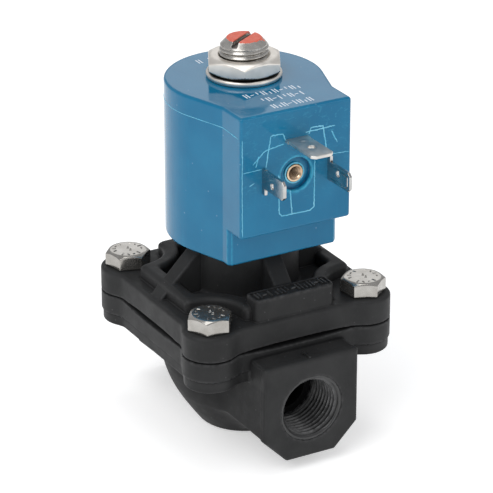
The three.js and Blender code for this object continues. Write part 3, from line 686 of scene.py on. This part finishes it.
def body_field(x, y, z):
    r = np.hypot(x, y)
    outline = flange(x, y)
    upper = slab(outline, z, FLANGE_FOOT, BODY_HIGH.z, 0.16)
    lower = slab(outline + 0.4, z, *SKIRT, 0.5)
    height = np.clip(z, 0.0, BOWL_TOP)
    bowl = (r - BOWL_CURVE(height)) / np.sqrt(1 + BOWL_SLOPE(height) ** 2)
    bowl = common(common(bowl, -z, 0.9), z - BOWL_TOP)
    neck = slab(boss(y, z, 0.18), x, -NECK_X, NECK_X, 0.5)
    collar = slab(boss(y, z, 0.0), np.abs(x), COLLAR_X, FACE_X, 0.8)
    shape = union(union(bowl, neck, 2.0), collar)
    shape = union(union(shape, lower, 0.9), upper)
    shape = cut(shape, within(-GROOVE - outline, BODY_HIGH.z - side_gap(x, y) - z), 0.15)

    along = np.hypot(y, z - PORT_Z)
    shape = cut(shape, within(along - BORE_R, SOCKET_X - np.abs(x)))
    chamber = within(r - CHAMBER_R[1], CHAMBER_R[0] - r, CHAMBER_FLOOR - z)
    bridge = within(np.abs(x + BRIDGE_X) - BRIDGE_X, np.abs(y) - BRIDGE_Y, z - BRIDGE_TOP)
    shape = cut(shape, within(chamber, -bridge), 0.5)
    for radius, floor, edge in BODY_BORES:
        shape = cut(shape, within(r - radius, floor - z), edge)
    inlet = within(INLET_END - x, x - SOCKET_X - 1)
    outlet = within(-SOCKET_X - 1 - x, x)
    shape = cut(shape, within(along - PASSAGE_R, union(inlet, outlet)), 0.3)
    shape = cut(shape, within(np.hypot(x + PILOT_X, y) - PILOT_R, PORT_Z - z))
    return cut(shape, from_bolts(x, y) - 4.6)


points, quads, normals = surface(body_field, BODY_LOW, BODY_HIGH, 0.42)
wear_and_shade = edge_wear_and_shade(body_field, points, normals)
# Painted shade: the sockets are dark all over, and the parts below the flange are darker than those above, as
# shade under the flange.
reach, height = np.abs(points[:, 0]), points[:, 2]
inside = (np.hypot(points[:, 1], height - PORT_Z) < BORE_R + 0.1) & (reach < FACE_X - 0.5)
shade_below_flange = 0.6 * np.clip((BOWL_TOP + 0.4 - height) / 2, 0, 1) * (reach < FACE_X - 0.6)
wear_and_shade["painted_shade"] = np.where(inside, 1.0, np.maximum(wear_and_shade["painted_shade"], shade_below_flange))
wear_and_shade["edge"] = np.where(inside, 0.0, wear_and_shade["edge"])
piece("body_moulding", points, quads, BLACK, "valve", "black_plastic", ["valve_body"], normals, wear_and_shade)


def port_thread(side):
    """The tapped lining of a port, with its spot-faced end."""
    segments, per_pitch = 96, 11
    turn = np.arange(segments) / segments
    start, end = SOCKET_X + 0.05, FACE_X - 0.3
    mouth, outer = 8.0, BORE_R + 0.4
    profile = []
    for x in np.arange(start, end, THREAD_PITCH / per_pitch):
        fade = np.clip((x - SOCKET_X) / 2.0, 0.0, 1.0)
        r = THREAD_MINOR + THREAD_DEPTH * fade * (1 - tooth(x / THREAD_PITCH - turn, 0.1))
        profile.append((np.maximum(r, mouth - (end - x) * 0.9), x))
    profile += [(mouth + 0.05, end), (outer, end), (outer, start)]
    verts, faces = revolved(profile, segments)
    radius = np.hypot(verts[:, 0], verts[:, 1])
    height = np.clip((THREAD_MINOR + THREAD_DEPTH - radius) / THREAD_DEPTH, 0, 1)
    away_from_end = 1 - np.clip((verts[:, 2] - end + 0.2) * 5, 0, 1)
    # Painted light: thread crests are painted lighter as a highlight and roots darker as shade, both fading
    # out at the spot-faced end.
    wear_and_painted_light = {
        "edge": np.clip(height * 2 - 1, 0, 1) * away_from_end,
        "painted_shade": np.clip(1 - 2.5 * height, 0, 1) * away_from_end,
    }
    lined = np.stack([side * verts[:, 2], verts[:, 0], verts[:, 1] + PORT_Z], 1)
    if side > 0:
        faces = [f[::-1] for f in faces]
    name = "inlet_thread" if side > 0 else "outlet_thread"
    piece(name, lined, faces, BLACK_MARK, "valve", "black_plastic", data=wear_and_painted_light, sharp=35)


port_thread(1)
port_thread(-1)

# The mark on top of each port's boss: a plain arrow that points the way the flow goes.
ARROW = [(-1.9, -0.28), (0.5, -0.28), (0.5, -0.85), (1.9, 0.0), (0.5, 0.85), (0.5, 0.28), (-1.9, 0.28)]
arrows = []
for side in (1, -1):
    spot = (side * COLLAR_X, 0.0, BODY_LOW.z + 29.25)
    arrows.append(pad(ARROW, spot, (-1, 0, 0), (0, -1, 0), -0.4, 0.28, 0.12))
piece("flow_arrows", *gathered(arrows), BLACK_MARK, "valve", "black_plastic", sharp=30)

# -------- bonnet

PLATE_TOP, SUNK = 38.0, 36.0  # what stands on the plate starts at SUNK, inside it
COLUMN_R = 13.6
RIB_LINE, RIB_HALF, RIB_TOP = 21.1, 2.0, 41.6
GUSSET_HALF, GUSSET_TOP, GUSSET_REACH = 2.5, 50.2, 25.2
SLANT = 0.7071  # for faces at 45 degrees
BLOCK_X, BLOCK_HALF, BLOCK_TOP = (20.0, 25.5), 11.0, 44.0
BLOCK_MIDDLE = sum(BLOCK_X) / 2
PILOT_Z = 41.9
# Round bores: radius, floor and how round the edges are.
BORES_BELOW = ((17.0, 35.3, 0.4), (11.0, 40.4, 0.4))
BORES_ABOVE = ((9.8, 45.1, 0.2), (6.5, 43.4, 0.2), (2.5, 41.2, 0.0))


def bonnet_field(x, y, z):
    r = np.hypot(x, y)
    ax, ay = np.abs(x), np.abs(y)
    outline = flange(x, y)
    plate = slab(outline, z, BONNET_FACE, PLATE_TOP, 0.3)
    plate = common(plate, (outline + z - PLATE_TOP + 0.6) * SLANT, 0.25)
    column = slab(r - COLUMN_R, z, SUNK, BONNET_HIGH.z, 0.6)
    line = cut(rectangle(x, y, RIB_LINE, RIB_LINE, 1.5), from_bolts(x, y) - 10.9, 1.6)
    rib = common(corner(np.abs(line) - RIB_HALF, z - RIB_TOP, 1.3), SUNK - z)
    far, near = np.maximum(ax, ay), np.minimum(ax, ay)
    wedge = common(common((far + z - 63.2) * SLANT, z - GUSSET_TOP, 0.8), 12.0 - far)
    wedge = common(wedge, far - GUSSET_REACH)
    gusset = common(corner(wedge, near - GUSSET_HALF, 0.4), 37.2 - z)
    block = rectangle(x - BLOCK_MIDDLE, y, BLOCK_MIDDLE - BLOCK_X[0], BLOCK_HALF, 1.2)
    shape = union(plate, column, 1.2)
    shape = union(shape, rib, 0.2)
    shape = union(shape, gusset, 0.2)
    shape = union(shape, slab(block, z, SUNK, BLOCK_TOP, 0.5), 0.3)
    shape = cut(shape, within(-GROOVE - outline, z - BONNET_FACE - side_gap(x, y)), 0.15)
    panel = rectangle(x - BLOCK_MIDDLE - 0.15, y, 2.1, 10.3, 0.6)
    shape = cut(shape, slab(panel, z, BLOCK_TOP - 0.35, BLOCK_TOP + 2, 0.1), 0.15)
    for radius, floor, edge in BORES_BELOW:
        shape = cut(shape, within(r - radius, z - floor), edge)
    for radius, floor, edge in BORES_ABOVE:
        shape = cut(shape, within(r - radius, floor - z), edge)
    channel = within(np.hypot(y, z - PILOT_Z) - PILOT_R, np.abs(x + PILOT_X / 2) - PILOT_X / 2)
    drop = within(np.hypot(x + PILOT_X, y) - PILOT_R, z - PILOT_Z)
    shape = cut(shape, union(channel, drop))
    return cut(shape, from_bolts(x, y) - 3.3, 0.2)


carved(
    "bonnet_moulding", bonnet_field, BONNET_LOW, BONNET_HIGH, 0.36,
    BLACK, "valve", "black_plastic", ["bonnet"],
)

# Raised ornament on the block: plain bars and dashes in a row.
SHAPES = {
    "bar": [[(0, -1.3), (0, 1.3)]],
    "bars": [[(-0.45, -1.3), (-0.45, 1.3)], [(0.45, -1.3), (0.45, 1.3)]],
    "low": [[(0, -1.3), (0, 0.2)]],
    "high": [[(0, -0.2), (0, 1.3)]],
    "dash": [[(-0.65, -0.1), (0.65, 0.1)]],
}
ROW = ("bars", "dash", "bar", "low", "bars", "high", "dash", "bars", "low", "bars", "dash", "bars")
ornament = []
for kind, y0 in zip(ROW, np.linspace(-8.9, 8.9, len(ROW))):
    for line in SHAPES[kind]:
        path = [(22.9 - 1.05 * v, y0 + u, BLOCK_TOP - 0.3) for u, v in traced(line, 6)]
        ornament.append(tube(path, 0.27, 10, ((0, 0, 1), 1.5)))
verts, faces = gathered(ornament)
# Painted highlight: the tops of the ornament are painted paler.
wear_and_painted_light = {"edge": np.clip((verts[:, 2] - BLOCK_TOP) * 6, 0, 1)}
piece("bonnet_ornament", verts, faces, BLACK_MARK, "valve", "black_plastic", data=wear_and_painted_light, sharp=50)

# -------- bolts

HEAD_TOP = box_mm("bonnet_bolt_front_left")[1].z - 0.1
HEAD_ACROSS, SEAT = 10.0, HEAD_TOP - 3.8
BOLT_PITCH, BOLT_ROOT, BOLT_THREAD, SHANK_R = 1.25, 2.45, 0.45, 2.88
MARK_CIRCLE = 3.45


def bolt_head(turn):
    """A hexagon head with its corners turned off, as a field round its own axis."""
    def field(x, y, z):
        head = slab(hexagon(x, y, HEAD_ACROSS, turn), z, SEAT, HEAD_TOP, 0.1)
        return common(head, corner_cone(np.hypot(x, y) - 0.455 * HEAD_ACROSS, z - HEAD_TOP), 0.22)
    return field


def bolt_mark(at, spot, angle, length):
    """A raised stroke with a round top, on a bolt's head."""
    way = np.array([*heading(angle), 0.0])
    middle = np.array([at.x + spot[0], at.y + spot[1], HEAD_TOP])
    line = [middle + way * length * t for t in np.linspace(-0.5, 0.5, 5)]
    return tube(line, 0.22, 8, ((0, 0, 1), 0.7))


for name in BOLT_NAMES:
    node = "bonnet_bolt_" + name
    at, foot, turn = middle_mm(node), box_mm(node)[0].z, BOLT_TURNS[name]
    field = bolt_head(turn)
    points, quads, normals = surface(field, (-6, -6, SEAT), (6, 6, HEAD_TOP), 0.15)
    wear_and_shade = edge_wear_and_shade(field, points, normals, 0.3)
    # Painted shade: the foot of each head, where it meets the flange, is darkened.
    wear_and_shade["painted_shade"] = np.clip((SEAT + 0.4 - points[:, 2]) * 2, 0, 0.6)
    shift = np.array([at.x, at.y, 0.0])
    piece("head_" + name, points + shift, quads, STEEL, "valve", "stainless_steel", [node], normals, wear_and_shade)
    spin = np.arange(48) / 48
    shank = [(0.05, foot), (2.3, foot), (2.75, foot + 0.5)]
    for z in np.arange(foot + 0.6, SEAT - 1.5, BOLT_PITCH / 8):
        shank.append((BOLT_ROOT + BOLT_THREAD * tooth(z / BOLT_PITCH - spin), z))
    shank += [(SHANK_R, SEAT - 1.3), (SHANK_R, SEAT + 0.4), (0.05, SEAT + 0.4)]
    verts, faces = revolved(shank, len(spin))
    piece("shank_" + name, verts + shift, faces, STEEL, "valve", "stainless_steel", sharp=40)
    marks = []
    for i in range(15):
        if i % 5 == 4:
            continue
        angle = turn + 24 * i
        spot = [MARK_CIRCLE * part for part in heading(angle)]
        marks.append(bolt_mark(at, spot, angle + (0, 25, 90)[i % 3], (1.0, 0.8, 0.5)[i % 3]))
    for i in range(4):
        marks.append(bolt_mark(at, (-1.1 + 0.7 * i, 0.6 - 0.4 * (i % 2)), turn - 60, 0.35 + 0.25 * (i % 2)))
    piece("marks_" + name, *gathered(marks), STEEL, "valve", "stainless_steel", sharp=30)

# -------- coil

FRONT_X = COIL_HIGH.x
COIL_BASE, COIL_TOP = COIL_LOW.z, COIL_HIGH.z
HALF_WIDTH = 15.2
TERMINAL_Z = middle_mm("terminal_screw_insert").z
HEAD_BACK, HEAD_BASE = 15.5, 60.8  # the terminal block
RECESS_R, RECESS_DEPTH = 4.2, 1.3
WINDING_ROOM = (15.4, 55.0, 88.4)  # radius, bottom and top


def coil_plan():
    """Round at the back, with flats that close in towards the front face."""
    r, shoulder, front, bevel = 19.6, 16.6, 19.5, 0.9
    start = math.atan2(HALF_WIDTH, shoulder) + math.acos(r / math.hypot(shoulder, HALF_WIDTH))
    points = [(r * math.cos(a), r * math.sin(a)) for a in np.linspace(start, 2 * math.pi - start, 72)]
    half = [(shoulder, -HALF_WIDTH), (front - bevel, -HALF_WIDTH), (front, bevel - HALF_WIDTH)]
    return points + half + [(x, -y) for x, y in reversed(half)]


def coil_field(x, y, z):
    r = np.hypot(x, y)
    drum = slab(polygon(x, y, coil_plan()), z, COIL_BASE, COIL_TOP, 0.7)
    centre, half = (HEAD_BACK + FRONT_X) / 2, (FRONT_X - HEAD_BACK) / 2
    head = rectangle(x - centre, z - (HEAD_BASE + COIL_TOP) / 2, half, (COIL_TOP - HEAD_BASE) / 2, 0.8)
    shape = union(drum, corner(head, np.abs(y) - HALF_WIDTH, 0.7))
    shape = cut(shape, r - 6.7, 0.5)
    shape = cut(shape, slab(r - WINDING_ROOM[0], z, *WINDING_ROOM[1:]))
    lead_room = within(np.abs(x - 12.75) - 4.75, np.abs(y) - 11, np.abs(z - 77.25) - 8.75)
    shape = cut(shape, lead_room)
    along = np.hypot(y, z - TERMINAL_Z)
    shape = cut(shape, within(along - 2.3, 16.0 - x))
    return cut(shape, within(along - RECESS_R, FRONT_X - RECESS_DEPTH - x), 0.3)


carved("coil_moulding", coil_field, COIL_LOW, COIL_HIGH, 0.36, BLUE, "coil", "blue_plastic", ["coil_housing"])


def pale_bead(name, verts, faces):
    """A pale bead on the coil: flash, and in one place a painted highlight along an edge."""
    piece(name, verts, faces, PALE_BEAD, "coil", "blue_plastic", sharp=60)


def on_front(lines, size, wobble):
    """Beads along lines drawn on the coil's front, as (y, z) points: flash, parting lines and one painted
    edge highlight.
    """
    noise = np.random.default_rng(7)
    parts = []
    for line in lines:
        fine = traced(line, 3, 0.35)
        fine = fine + noise.normal(0, wobble, fine.shape)
        width = size * (0.7 + 0.5 * noise.random(len(fine)))
        width[0] = width[-1] = size * 0.2
        path = np.stack([np.full(len(fine), FRONT_X), fine[:, 0], fine[:, 1]], 1)
        parts.append(tube(path, width, 8, ((1, 0, 0), 0.35)))
    return gathered(parts)


FLASH = [
    [(-8.35, 78.2), (-7.0, 86.1), (-3.75, 86.0), (-2.9, 84.0)],
    [(3.4, 84.6), (3.9, 86.1), (7.2, 86.0), (8.1, 81.3), (8.45, 78.2)],
    [(-4.8, 75.7), (-4.7, 65.9), (-3.9, 64.9), (3.9, 64.8), (5.0, 65.6), (5.1, 77.6)],
    [(-1.7, 71.2), (-1.1, 64.85)],
    [(-11.9, 79.6), (-8.6, 82.6), (-3.4, 83.4)],
    [(-11.2, 78.8), (-10.2, 81.6)],
    [(2.4, 85.2), (10.6, 85.4)],
    [(-12.9, 74.4), (-11.4, 74.9)],
    [(9.6, 84.2), (11.3, 81.0)],
]
PARTING_AND_EDGE_HIGHLIGHT = [
    [(-14.6, 78.0), (-9.6, 78.1)],
    [(9.8, 78.2), (14.7, 78.0)],
    # A painted highlight along the terminal block's rounded left front edge, not a parting line.
    [(-14.75, 61.6), (-14.8, 74.0), (-14.75, 86.4)],
]
pale_bead("coil_flash_lines", *on_front(FLASH, 0.15, 0.045))
pale_bead("coil_parting_lines_and_edge_highlight", *on_front(PARTING_AND_EDGE_HIGHLIGHT, 0.1, 0.035))

# Flash round the coil's left side and on to its terminal block, and round the screw insert.
plan = np.array(coil_plan())
left = plan[(plan[:, 1] < -2.0) & (plan[:, 0] < 16.7)]
way = left / np.linalg.norm(left, axis=1)[:, None]
ring = [(x - 0.03 * u, y - 0.03 * v, 86.8) for (x, y), (u, v) in zip(left, way)]
ring += [(20.5, -HALF_WIDTH, 86.7), (FRONT_X - 0.5, -HALF_WIDTH, 86.4)]
fine = traced(ring, 6)[:-1]
uneven = 0.09 * (0.6 + 0.8 * np.random.default_rng(3).random(len(fine)))
pale_bead("coil_side_flash", *tube(fine, uneven, 8))
turn = np.linspace(0, 2 * math.pi, 64, endpoint=False)
lip = np.stack([np.full(64, FRONT_X - 0.98), 2.5 * np.cos(turn), TERMINAL_Z + 2.5 * np.sin(turn)], 1)
pale_bead("insert_lip", *tube(lip, 0.22, 8, closed=True))

# Printed marks on the coil's top: plain shapes in rows, as x, first y, last y, count and kinds.
PRINTED_ROWS = (
    (12.9, -6.6, 7.6, 10, ("bars", "dash", "high", "bars", "low")),
    (17.1, -4.3, 6.2, 8, ("high", "bars", "dash", "bar")),
    (21.7, -4.0, 5.8, 8, ("bars", "low", "bars", "dash", "bar")),
    (-13.6, -5.0, -2.0, 2, ("bars", "high")),
)
printed = []
for x0, first, last, count, kinds in PRINTED_ROWS:
    for i, y0 in enumerate(np.linspace(first, last, count)):
        for line in SHAPES[kinds[i % len(kinds)]]:
            path = traced([(x0 - 0.95 * v, y0 + 0.85 * u, COIL_TOP) for u, v in line], 4)
            printed.append(tube(path, 0.19, 8, ((0, 0, 1), 0.12)))
piece("coil_print", *gathered(printed), PRINT, "coil", "blue_plastic", sharp=60)

# -------- terminals

BLADE_FRONT, EARTH_FRONT = 35.6, 38.0


def blade_outline(tip, root, span, shoulder=26.7, inner=17.0, rim=0.9):
    """A blade that covers root inside the coil and span outside it, with blunt corners."""
    return [
        (inner, root[0]), (shoulder, root[0]), (shoulder, span[0]), (tip - rim, span[0]),
        (tip, span[0] + rim), (tip, span[1] - rim),
        (tip - rim, span[1]), (shoulder, span[1]), (shoulder, root[1]), (inner, root[1]),
    ]


def blade_field(outline, hole, hole_r, thick, dent=None, embossed=False):
    """A flat blade in its own plane: u along it, v across it, w through it."""
    def field(u, v, w):
        edge = polygon(u, v, outline)
        plate = corner(edge, np.abs(w) - thick / 2, 0.14)
        if embossed:
            plate = plate + 0.14 * np.exp(-(((edge + 0.9) / 0.2) ** 2)) * (u > 27.2)
        plate = cut(plate, np.hypot(u - hole[0], v - hole[1]) - hole_r, 0.18)
        if dent:
            plate = cut(plate, np.sqrt((u - dent[0]) ** 2 + (v - dent[1]) ** 2 + (w - 2.4) ** 2) - 2.2, 0.1)
        return plate
    return field


def blade(name, node, outline, hole, hole_r, upright, look=TIN, **extra):
    low, high = box_mm(node)
    centre = (low + high) / 2
    thick = (high.y - low.y) if upright else (high.z - low.z)
    field = blade_field(outline, hole, hole_r, thick, **extra)

    def placed(x, y, z):
        return field(x, z, y - centre.y) if upright else field(x, y, z - centre.z)
    carved(name, placed, low, high, 0.13, look, "coil", "tinned_metal", [node])


for side, span, hole, embossed in (("left", (73.4, 78.2), 75.3, False), ("right", (71.9, 76.8), 74.9, True)):
    outline = blade_outline(BLADE_FRONT, (71.8, 78.3), span)
    blade("terminal_" + side, "blade_" + side, outline, (30.3, hole), 0.78, True, embossed=embossed)
blade(
    "terminal_earth", "earth_blade", blade_outline(EARTH_FRONT, (-3.15, 3.15), (-3.0, 3.0)),
    (32.4, 0.0), 0.92, False, TIN_DULL, dent=(28.6, 0.0),
)


def insert_field(x, y, z):
    """The brass insert: a ring with a tapped, countersunk bore."""
    along = np.hypot(y, z - TERMINAL_Z)
    ring = corner(along - 2.2, np.abs(x - 20.85) - 3.95, 0.15)
    bore = 1.25 + 0.28 * (1 - tooth(x / 0.5 - turns_round(z - TERMINAL_Z, y)))
    bore = np.maximum(bore, 1.75 - (24.8 - x) * 0.9)
    return cut(ring, within((along - bore) * 0.6, 18.5 - x), 0.05)


low, high = box_mm("terminal_screw_insert")
carved("screw_insert", insert_field, low, high, 0.12, BRASS, "coil", "brass", ["terminal_screw_insert"])

# -------- washer, nut and stud

low, high = box_mm("coil_washer")
rim, bore, round_r = high.x, 6.6, 0.42
profile = [(bore, low.z), (rim - 0.35, low.z)]
for i in range(9):
    a = -math.pi / 2 + math.pi * i / 8
    half = (high.z - low.z) / 2
    profile.append((rim - round_r + round_r * math.cos(a), (low.z + high.z) / 2 + half * math.sin(a) * 0.98))
profile += [(rim - 0.9, high.z - 0.01), (7.2, high.z), (6.75, high.z - 0.12), (bore, high.z - 0.3)]
verts, faces = revolved(profile, 128)
# Painted shade: the washer's top is darkened under the nut.
under_nut = np.clip((rim - 0.35 - np.hypot(verts[:, 0], verts[:, 1])) * 4, 0, 1)
shaded = {"painted_shade": under_nut * (verts[:, 2] > high.z - 0.4)}
piece(
    "plate_washer", verts, faces, NICKEL, "valve", "nickel_plate", ["coil_washer"], data=shaded, sharp=50,
)

NUT_LOW, NUT_HIGH = (v.z for v in box_mm("coil_nut"))
NUT_ACROSS, NUT_TURN = 17.3, -28
STUD_PITCH = 1.27


def nut_field(x, y, z):
    r = np.hypot(x, y)
    shape = slab(hexagon(x, y, NUT_ACROSS, NUT_TURN), z, NUT_LOW, NUT_HIGH, 0.12)
    for height in (z - NUT_HIGH, NUT_LOW - z):
        shape = common(shape, corner_cone(r - 8.05, height), 0.25)
    bore = 5.95 + 0.3 * (1 - tooth(z / STUD_PITCH - turns_round(y, x)))
    bore = np.maximum(bore, 6.4 - np.minimum(NUT_HIGH - z, z - NUT_LOW))
    return cut(shape, (r - bore) * 0.7, 0.15)


low, high = box_mm("coil_nut")
points, quads, normals = surface(nut_field, low, high, 0.2)
wear_and_shade = edge_wear_and_shade(nut_field, points, normals)
# Painted shade: faces turned downwards are darkened fully, other hollows half as much.
wear_and_shade["painted_shade"] = np.where(normals[:, 2] < -0.25, 1.0, 0.5 * wear_and_shade["painted_shade"])
piece("lock_nut", points, quads, NICKEL, "valve", "nickel_plate", ["coil_nut"], normals, wear_and_shade)

STUD_LOW, STUD_HIGH = box_mm("fixed_core")
SLOT_TURN, SLOT_HALF, SLOT_DEPTH = math.radians(122.6), 0.75, 1.35
STUD_ROOT, STUD_RIDGE, PLUG_R, CONE_R = 5.6, 0.42, 4.85, 4.1
STUD_FOOT, FIRST_RIDGE, RUN_OUT = 90.0, 92.0, 1.45


def stud_field(x, y, z):
    """The fixed core: a plain plug, and a threaded end with a cone and a screwdriver slot."""
    r = np.hypot(x, y)
    top = STUD_HIGH.z
    ridge = tooth((z - 0.2) / STUD_PITCH - turns_round(y, x)) * (z > FIRST_RIDGE) * (z < top - RUN_OUT)
    threaded = within((r - (STUD_ROOT + STUD_RIDGE * ridge)) * 0.75, STUD_FOOT - z, z - top)
    threaded = common(threaded, ((z - top) * 0.95 + (r - CONE_R)) * 0.725, 0.15)
    threaded = common(threaded, z - top, 0.15)
    plug = slab(r - PLUG_R, z, STUD_LOW.z, STUD_FOOT + 1, 0.2)
    across = np.abs(-x * math.sin(SLOT_TURN) + y * math.cos(SLOT_TURN)) - SLOT_HALF
    shape = cut(union(plug, threaded), within(across, top - SLOT_DEPTH - z), 0.1)
    return cut(shape, within(np.abs(r - 3.6) - 0.6, z - STUD_LOW.z - 1.6))


STUD = painted_stud(STUD_HIGH.z)
carved(
    "threaded_plug", stud_field, STUD_LOW, STUD_HIGH, 0.15, STUD, "valve", "stainless_steel", ["fixed_core"],
)

# -------- springs


def coil_spring(name, node, r0, r1, turns, wire, sides):
    """A wire spring that fills a CAD spring's height, and the height of its top."""
    low, high = box_mm(node)
    path = helix(r0, r1, low.z + wire, high.z - wire, turns)
    spring = piece(name, *tube(path, wire, sides), STEEL_INNER, "valve", "stainless_steel", [node])
    return spring, high


spring, high = coil_spring("plunger_spring_wire", "plunger_spring", 2.2, 2.2, 7, 0.27, 10)
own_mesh(spring)
spring, high = coil_spring("diaphragm_spring_wire", "diaphragm_spring", 9.2, 7.2, 4, 0.48, 12)
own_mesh(spring)

# -------- the other CAD nodes

INNER_LOOKS = {
    RUBBER: ("diaphragm", "seat_seal", "plunger_seal", "tube_o_ring"),
    BRASS: (
        "valve_disc", "diaphragm_nut", "tube_retaining_ring", *("threaded_insert_" + n for n in BOLT_NAMES),
    ),
    STEEL_INNER: ("diaphragm_plate", "pilot_seat", "core_tube"),
    IRON: ("plunger", "yoke_frame"),
    COPPER: ("shading_ring", "winding", "lead_left", "lead_right"),
    BOBBIN: ("bobbin",),
}
for look, names in INNER_LOOKS.items():
    for name in names:
        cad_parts[name].material_slots[0].material = look

# -------- camera, floor and light


def aim(obj, target):
    obj.rotation_euler = (Vector(target) - obj.location).to_track_quat("-Z", "Y").to_euler()


# The camera looks at TARGET from DISTANCE metres away. Its angles are in degrees.
TARGET = Vector((0.0, 0.681, 46.04)) * MM
AZIMUTH, ELEVATION, DISTANCE = -29.41, 24.08, 0.7014
(view_x, view_y), (level, rise) = heading(AZIMUTH), heading(ELEVATION)
camera_data = bpy.data.cameras.new("camera")
camera_data.lens = 205.1
camera_data.sensor_width = 36
camera_data.clip_start = 0.01
camera = linked("camera", camera_data)
camera.location = TARGET + DISTANCE * Vector((view_x * level, view_y * level, rise))
aim(camera, TARGET)
bpy.context.scene.camera = camera

# The floor glows a little, so that it stays pale far from the lights.
floor_look = Look("floor", {
    "Specular IOR Level": 0.1, "Emission Strength": 0.45, "Emission Color": (1, 1, 1, 1),
})
shade = floor_look.mix(floor_look.noise(0.01, 3.0), (0.86, 0.86, 0.86), (0.9, 0.9, 0.9))
floor_rough = floor_look.span(floor_look.noise(0.02, 2.0), 0.3, 0.7, 0.7, 0.85)
floor_look = floor_look.finish(Base_Color=shade, Roughness=floor_rough)
half = 6.0
floor_mesh = bpy.data.meshes.new("floor")
floor_corners = [(-half, -half, 0), (half, -half, 0), (half, half, 0), (-half, half, 0)]
floor_mesh.from_pydata(floor_corners, [], [(0, 1, 2, 3)])
floor_mesh.materials.append(floor_look)
floor = linked("floor", floor_mesh)

world = bpy.data.worlds.new("studio")
bpy.context.scene.world = world
world.use_nodes = True
background = world.node_tree.nodes["Background"]
background.inputs[0].default_value = (0.97, 0.98, 1.0, 1.0)
background.inputs[1].default_value = 0.5

# Soft lights: name, place, the height they aim at on the axis, size and power, in metres and watts.
LIGHTS = (
    ("key", (0.35, -0.75, 0.95), 0.05, (0.9, 0.7), 6.0),
    ("fill", (0.95, 0.55, 0.5), 0.05, (0.7, 0.7), 1.6),
    ("back", (-0.95, 0.55, 0.58), 0.09, (0.7, 0.3), 0.56),
    ("top", (-0.05, 0.05, 1.1), 0.05, (0.5, 0.5), 1.5),
)
for name, place, height, size, power in LIGHTS:
    light = bpy.data.lights.new(name, "AREA")
    light.shape = "RECTANGLE"
    light.size, light.size_y = size
    light.energy = power
    lamp = linked(name, light)
    lamp.location = place
    aim(lamp, (0, 0, height))
bpy.context.scene.view_settings.view_transform = "Standard"
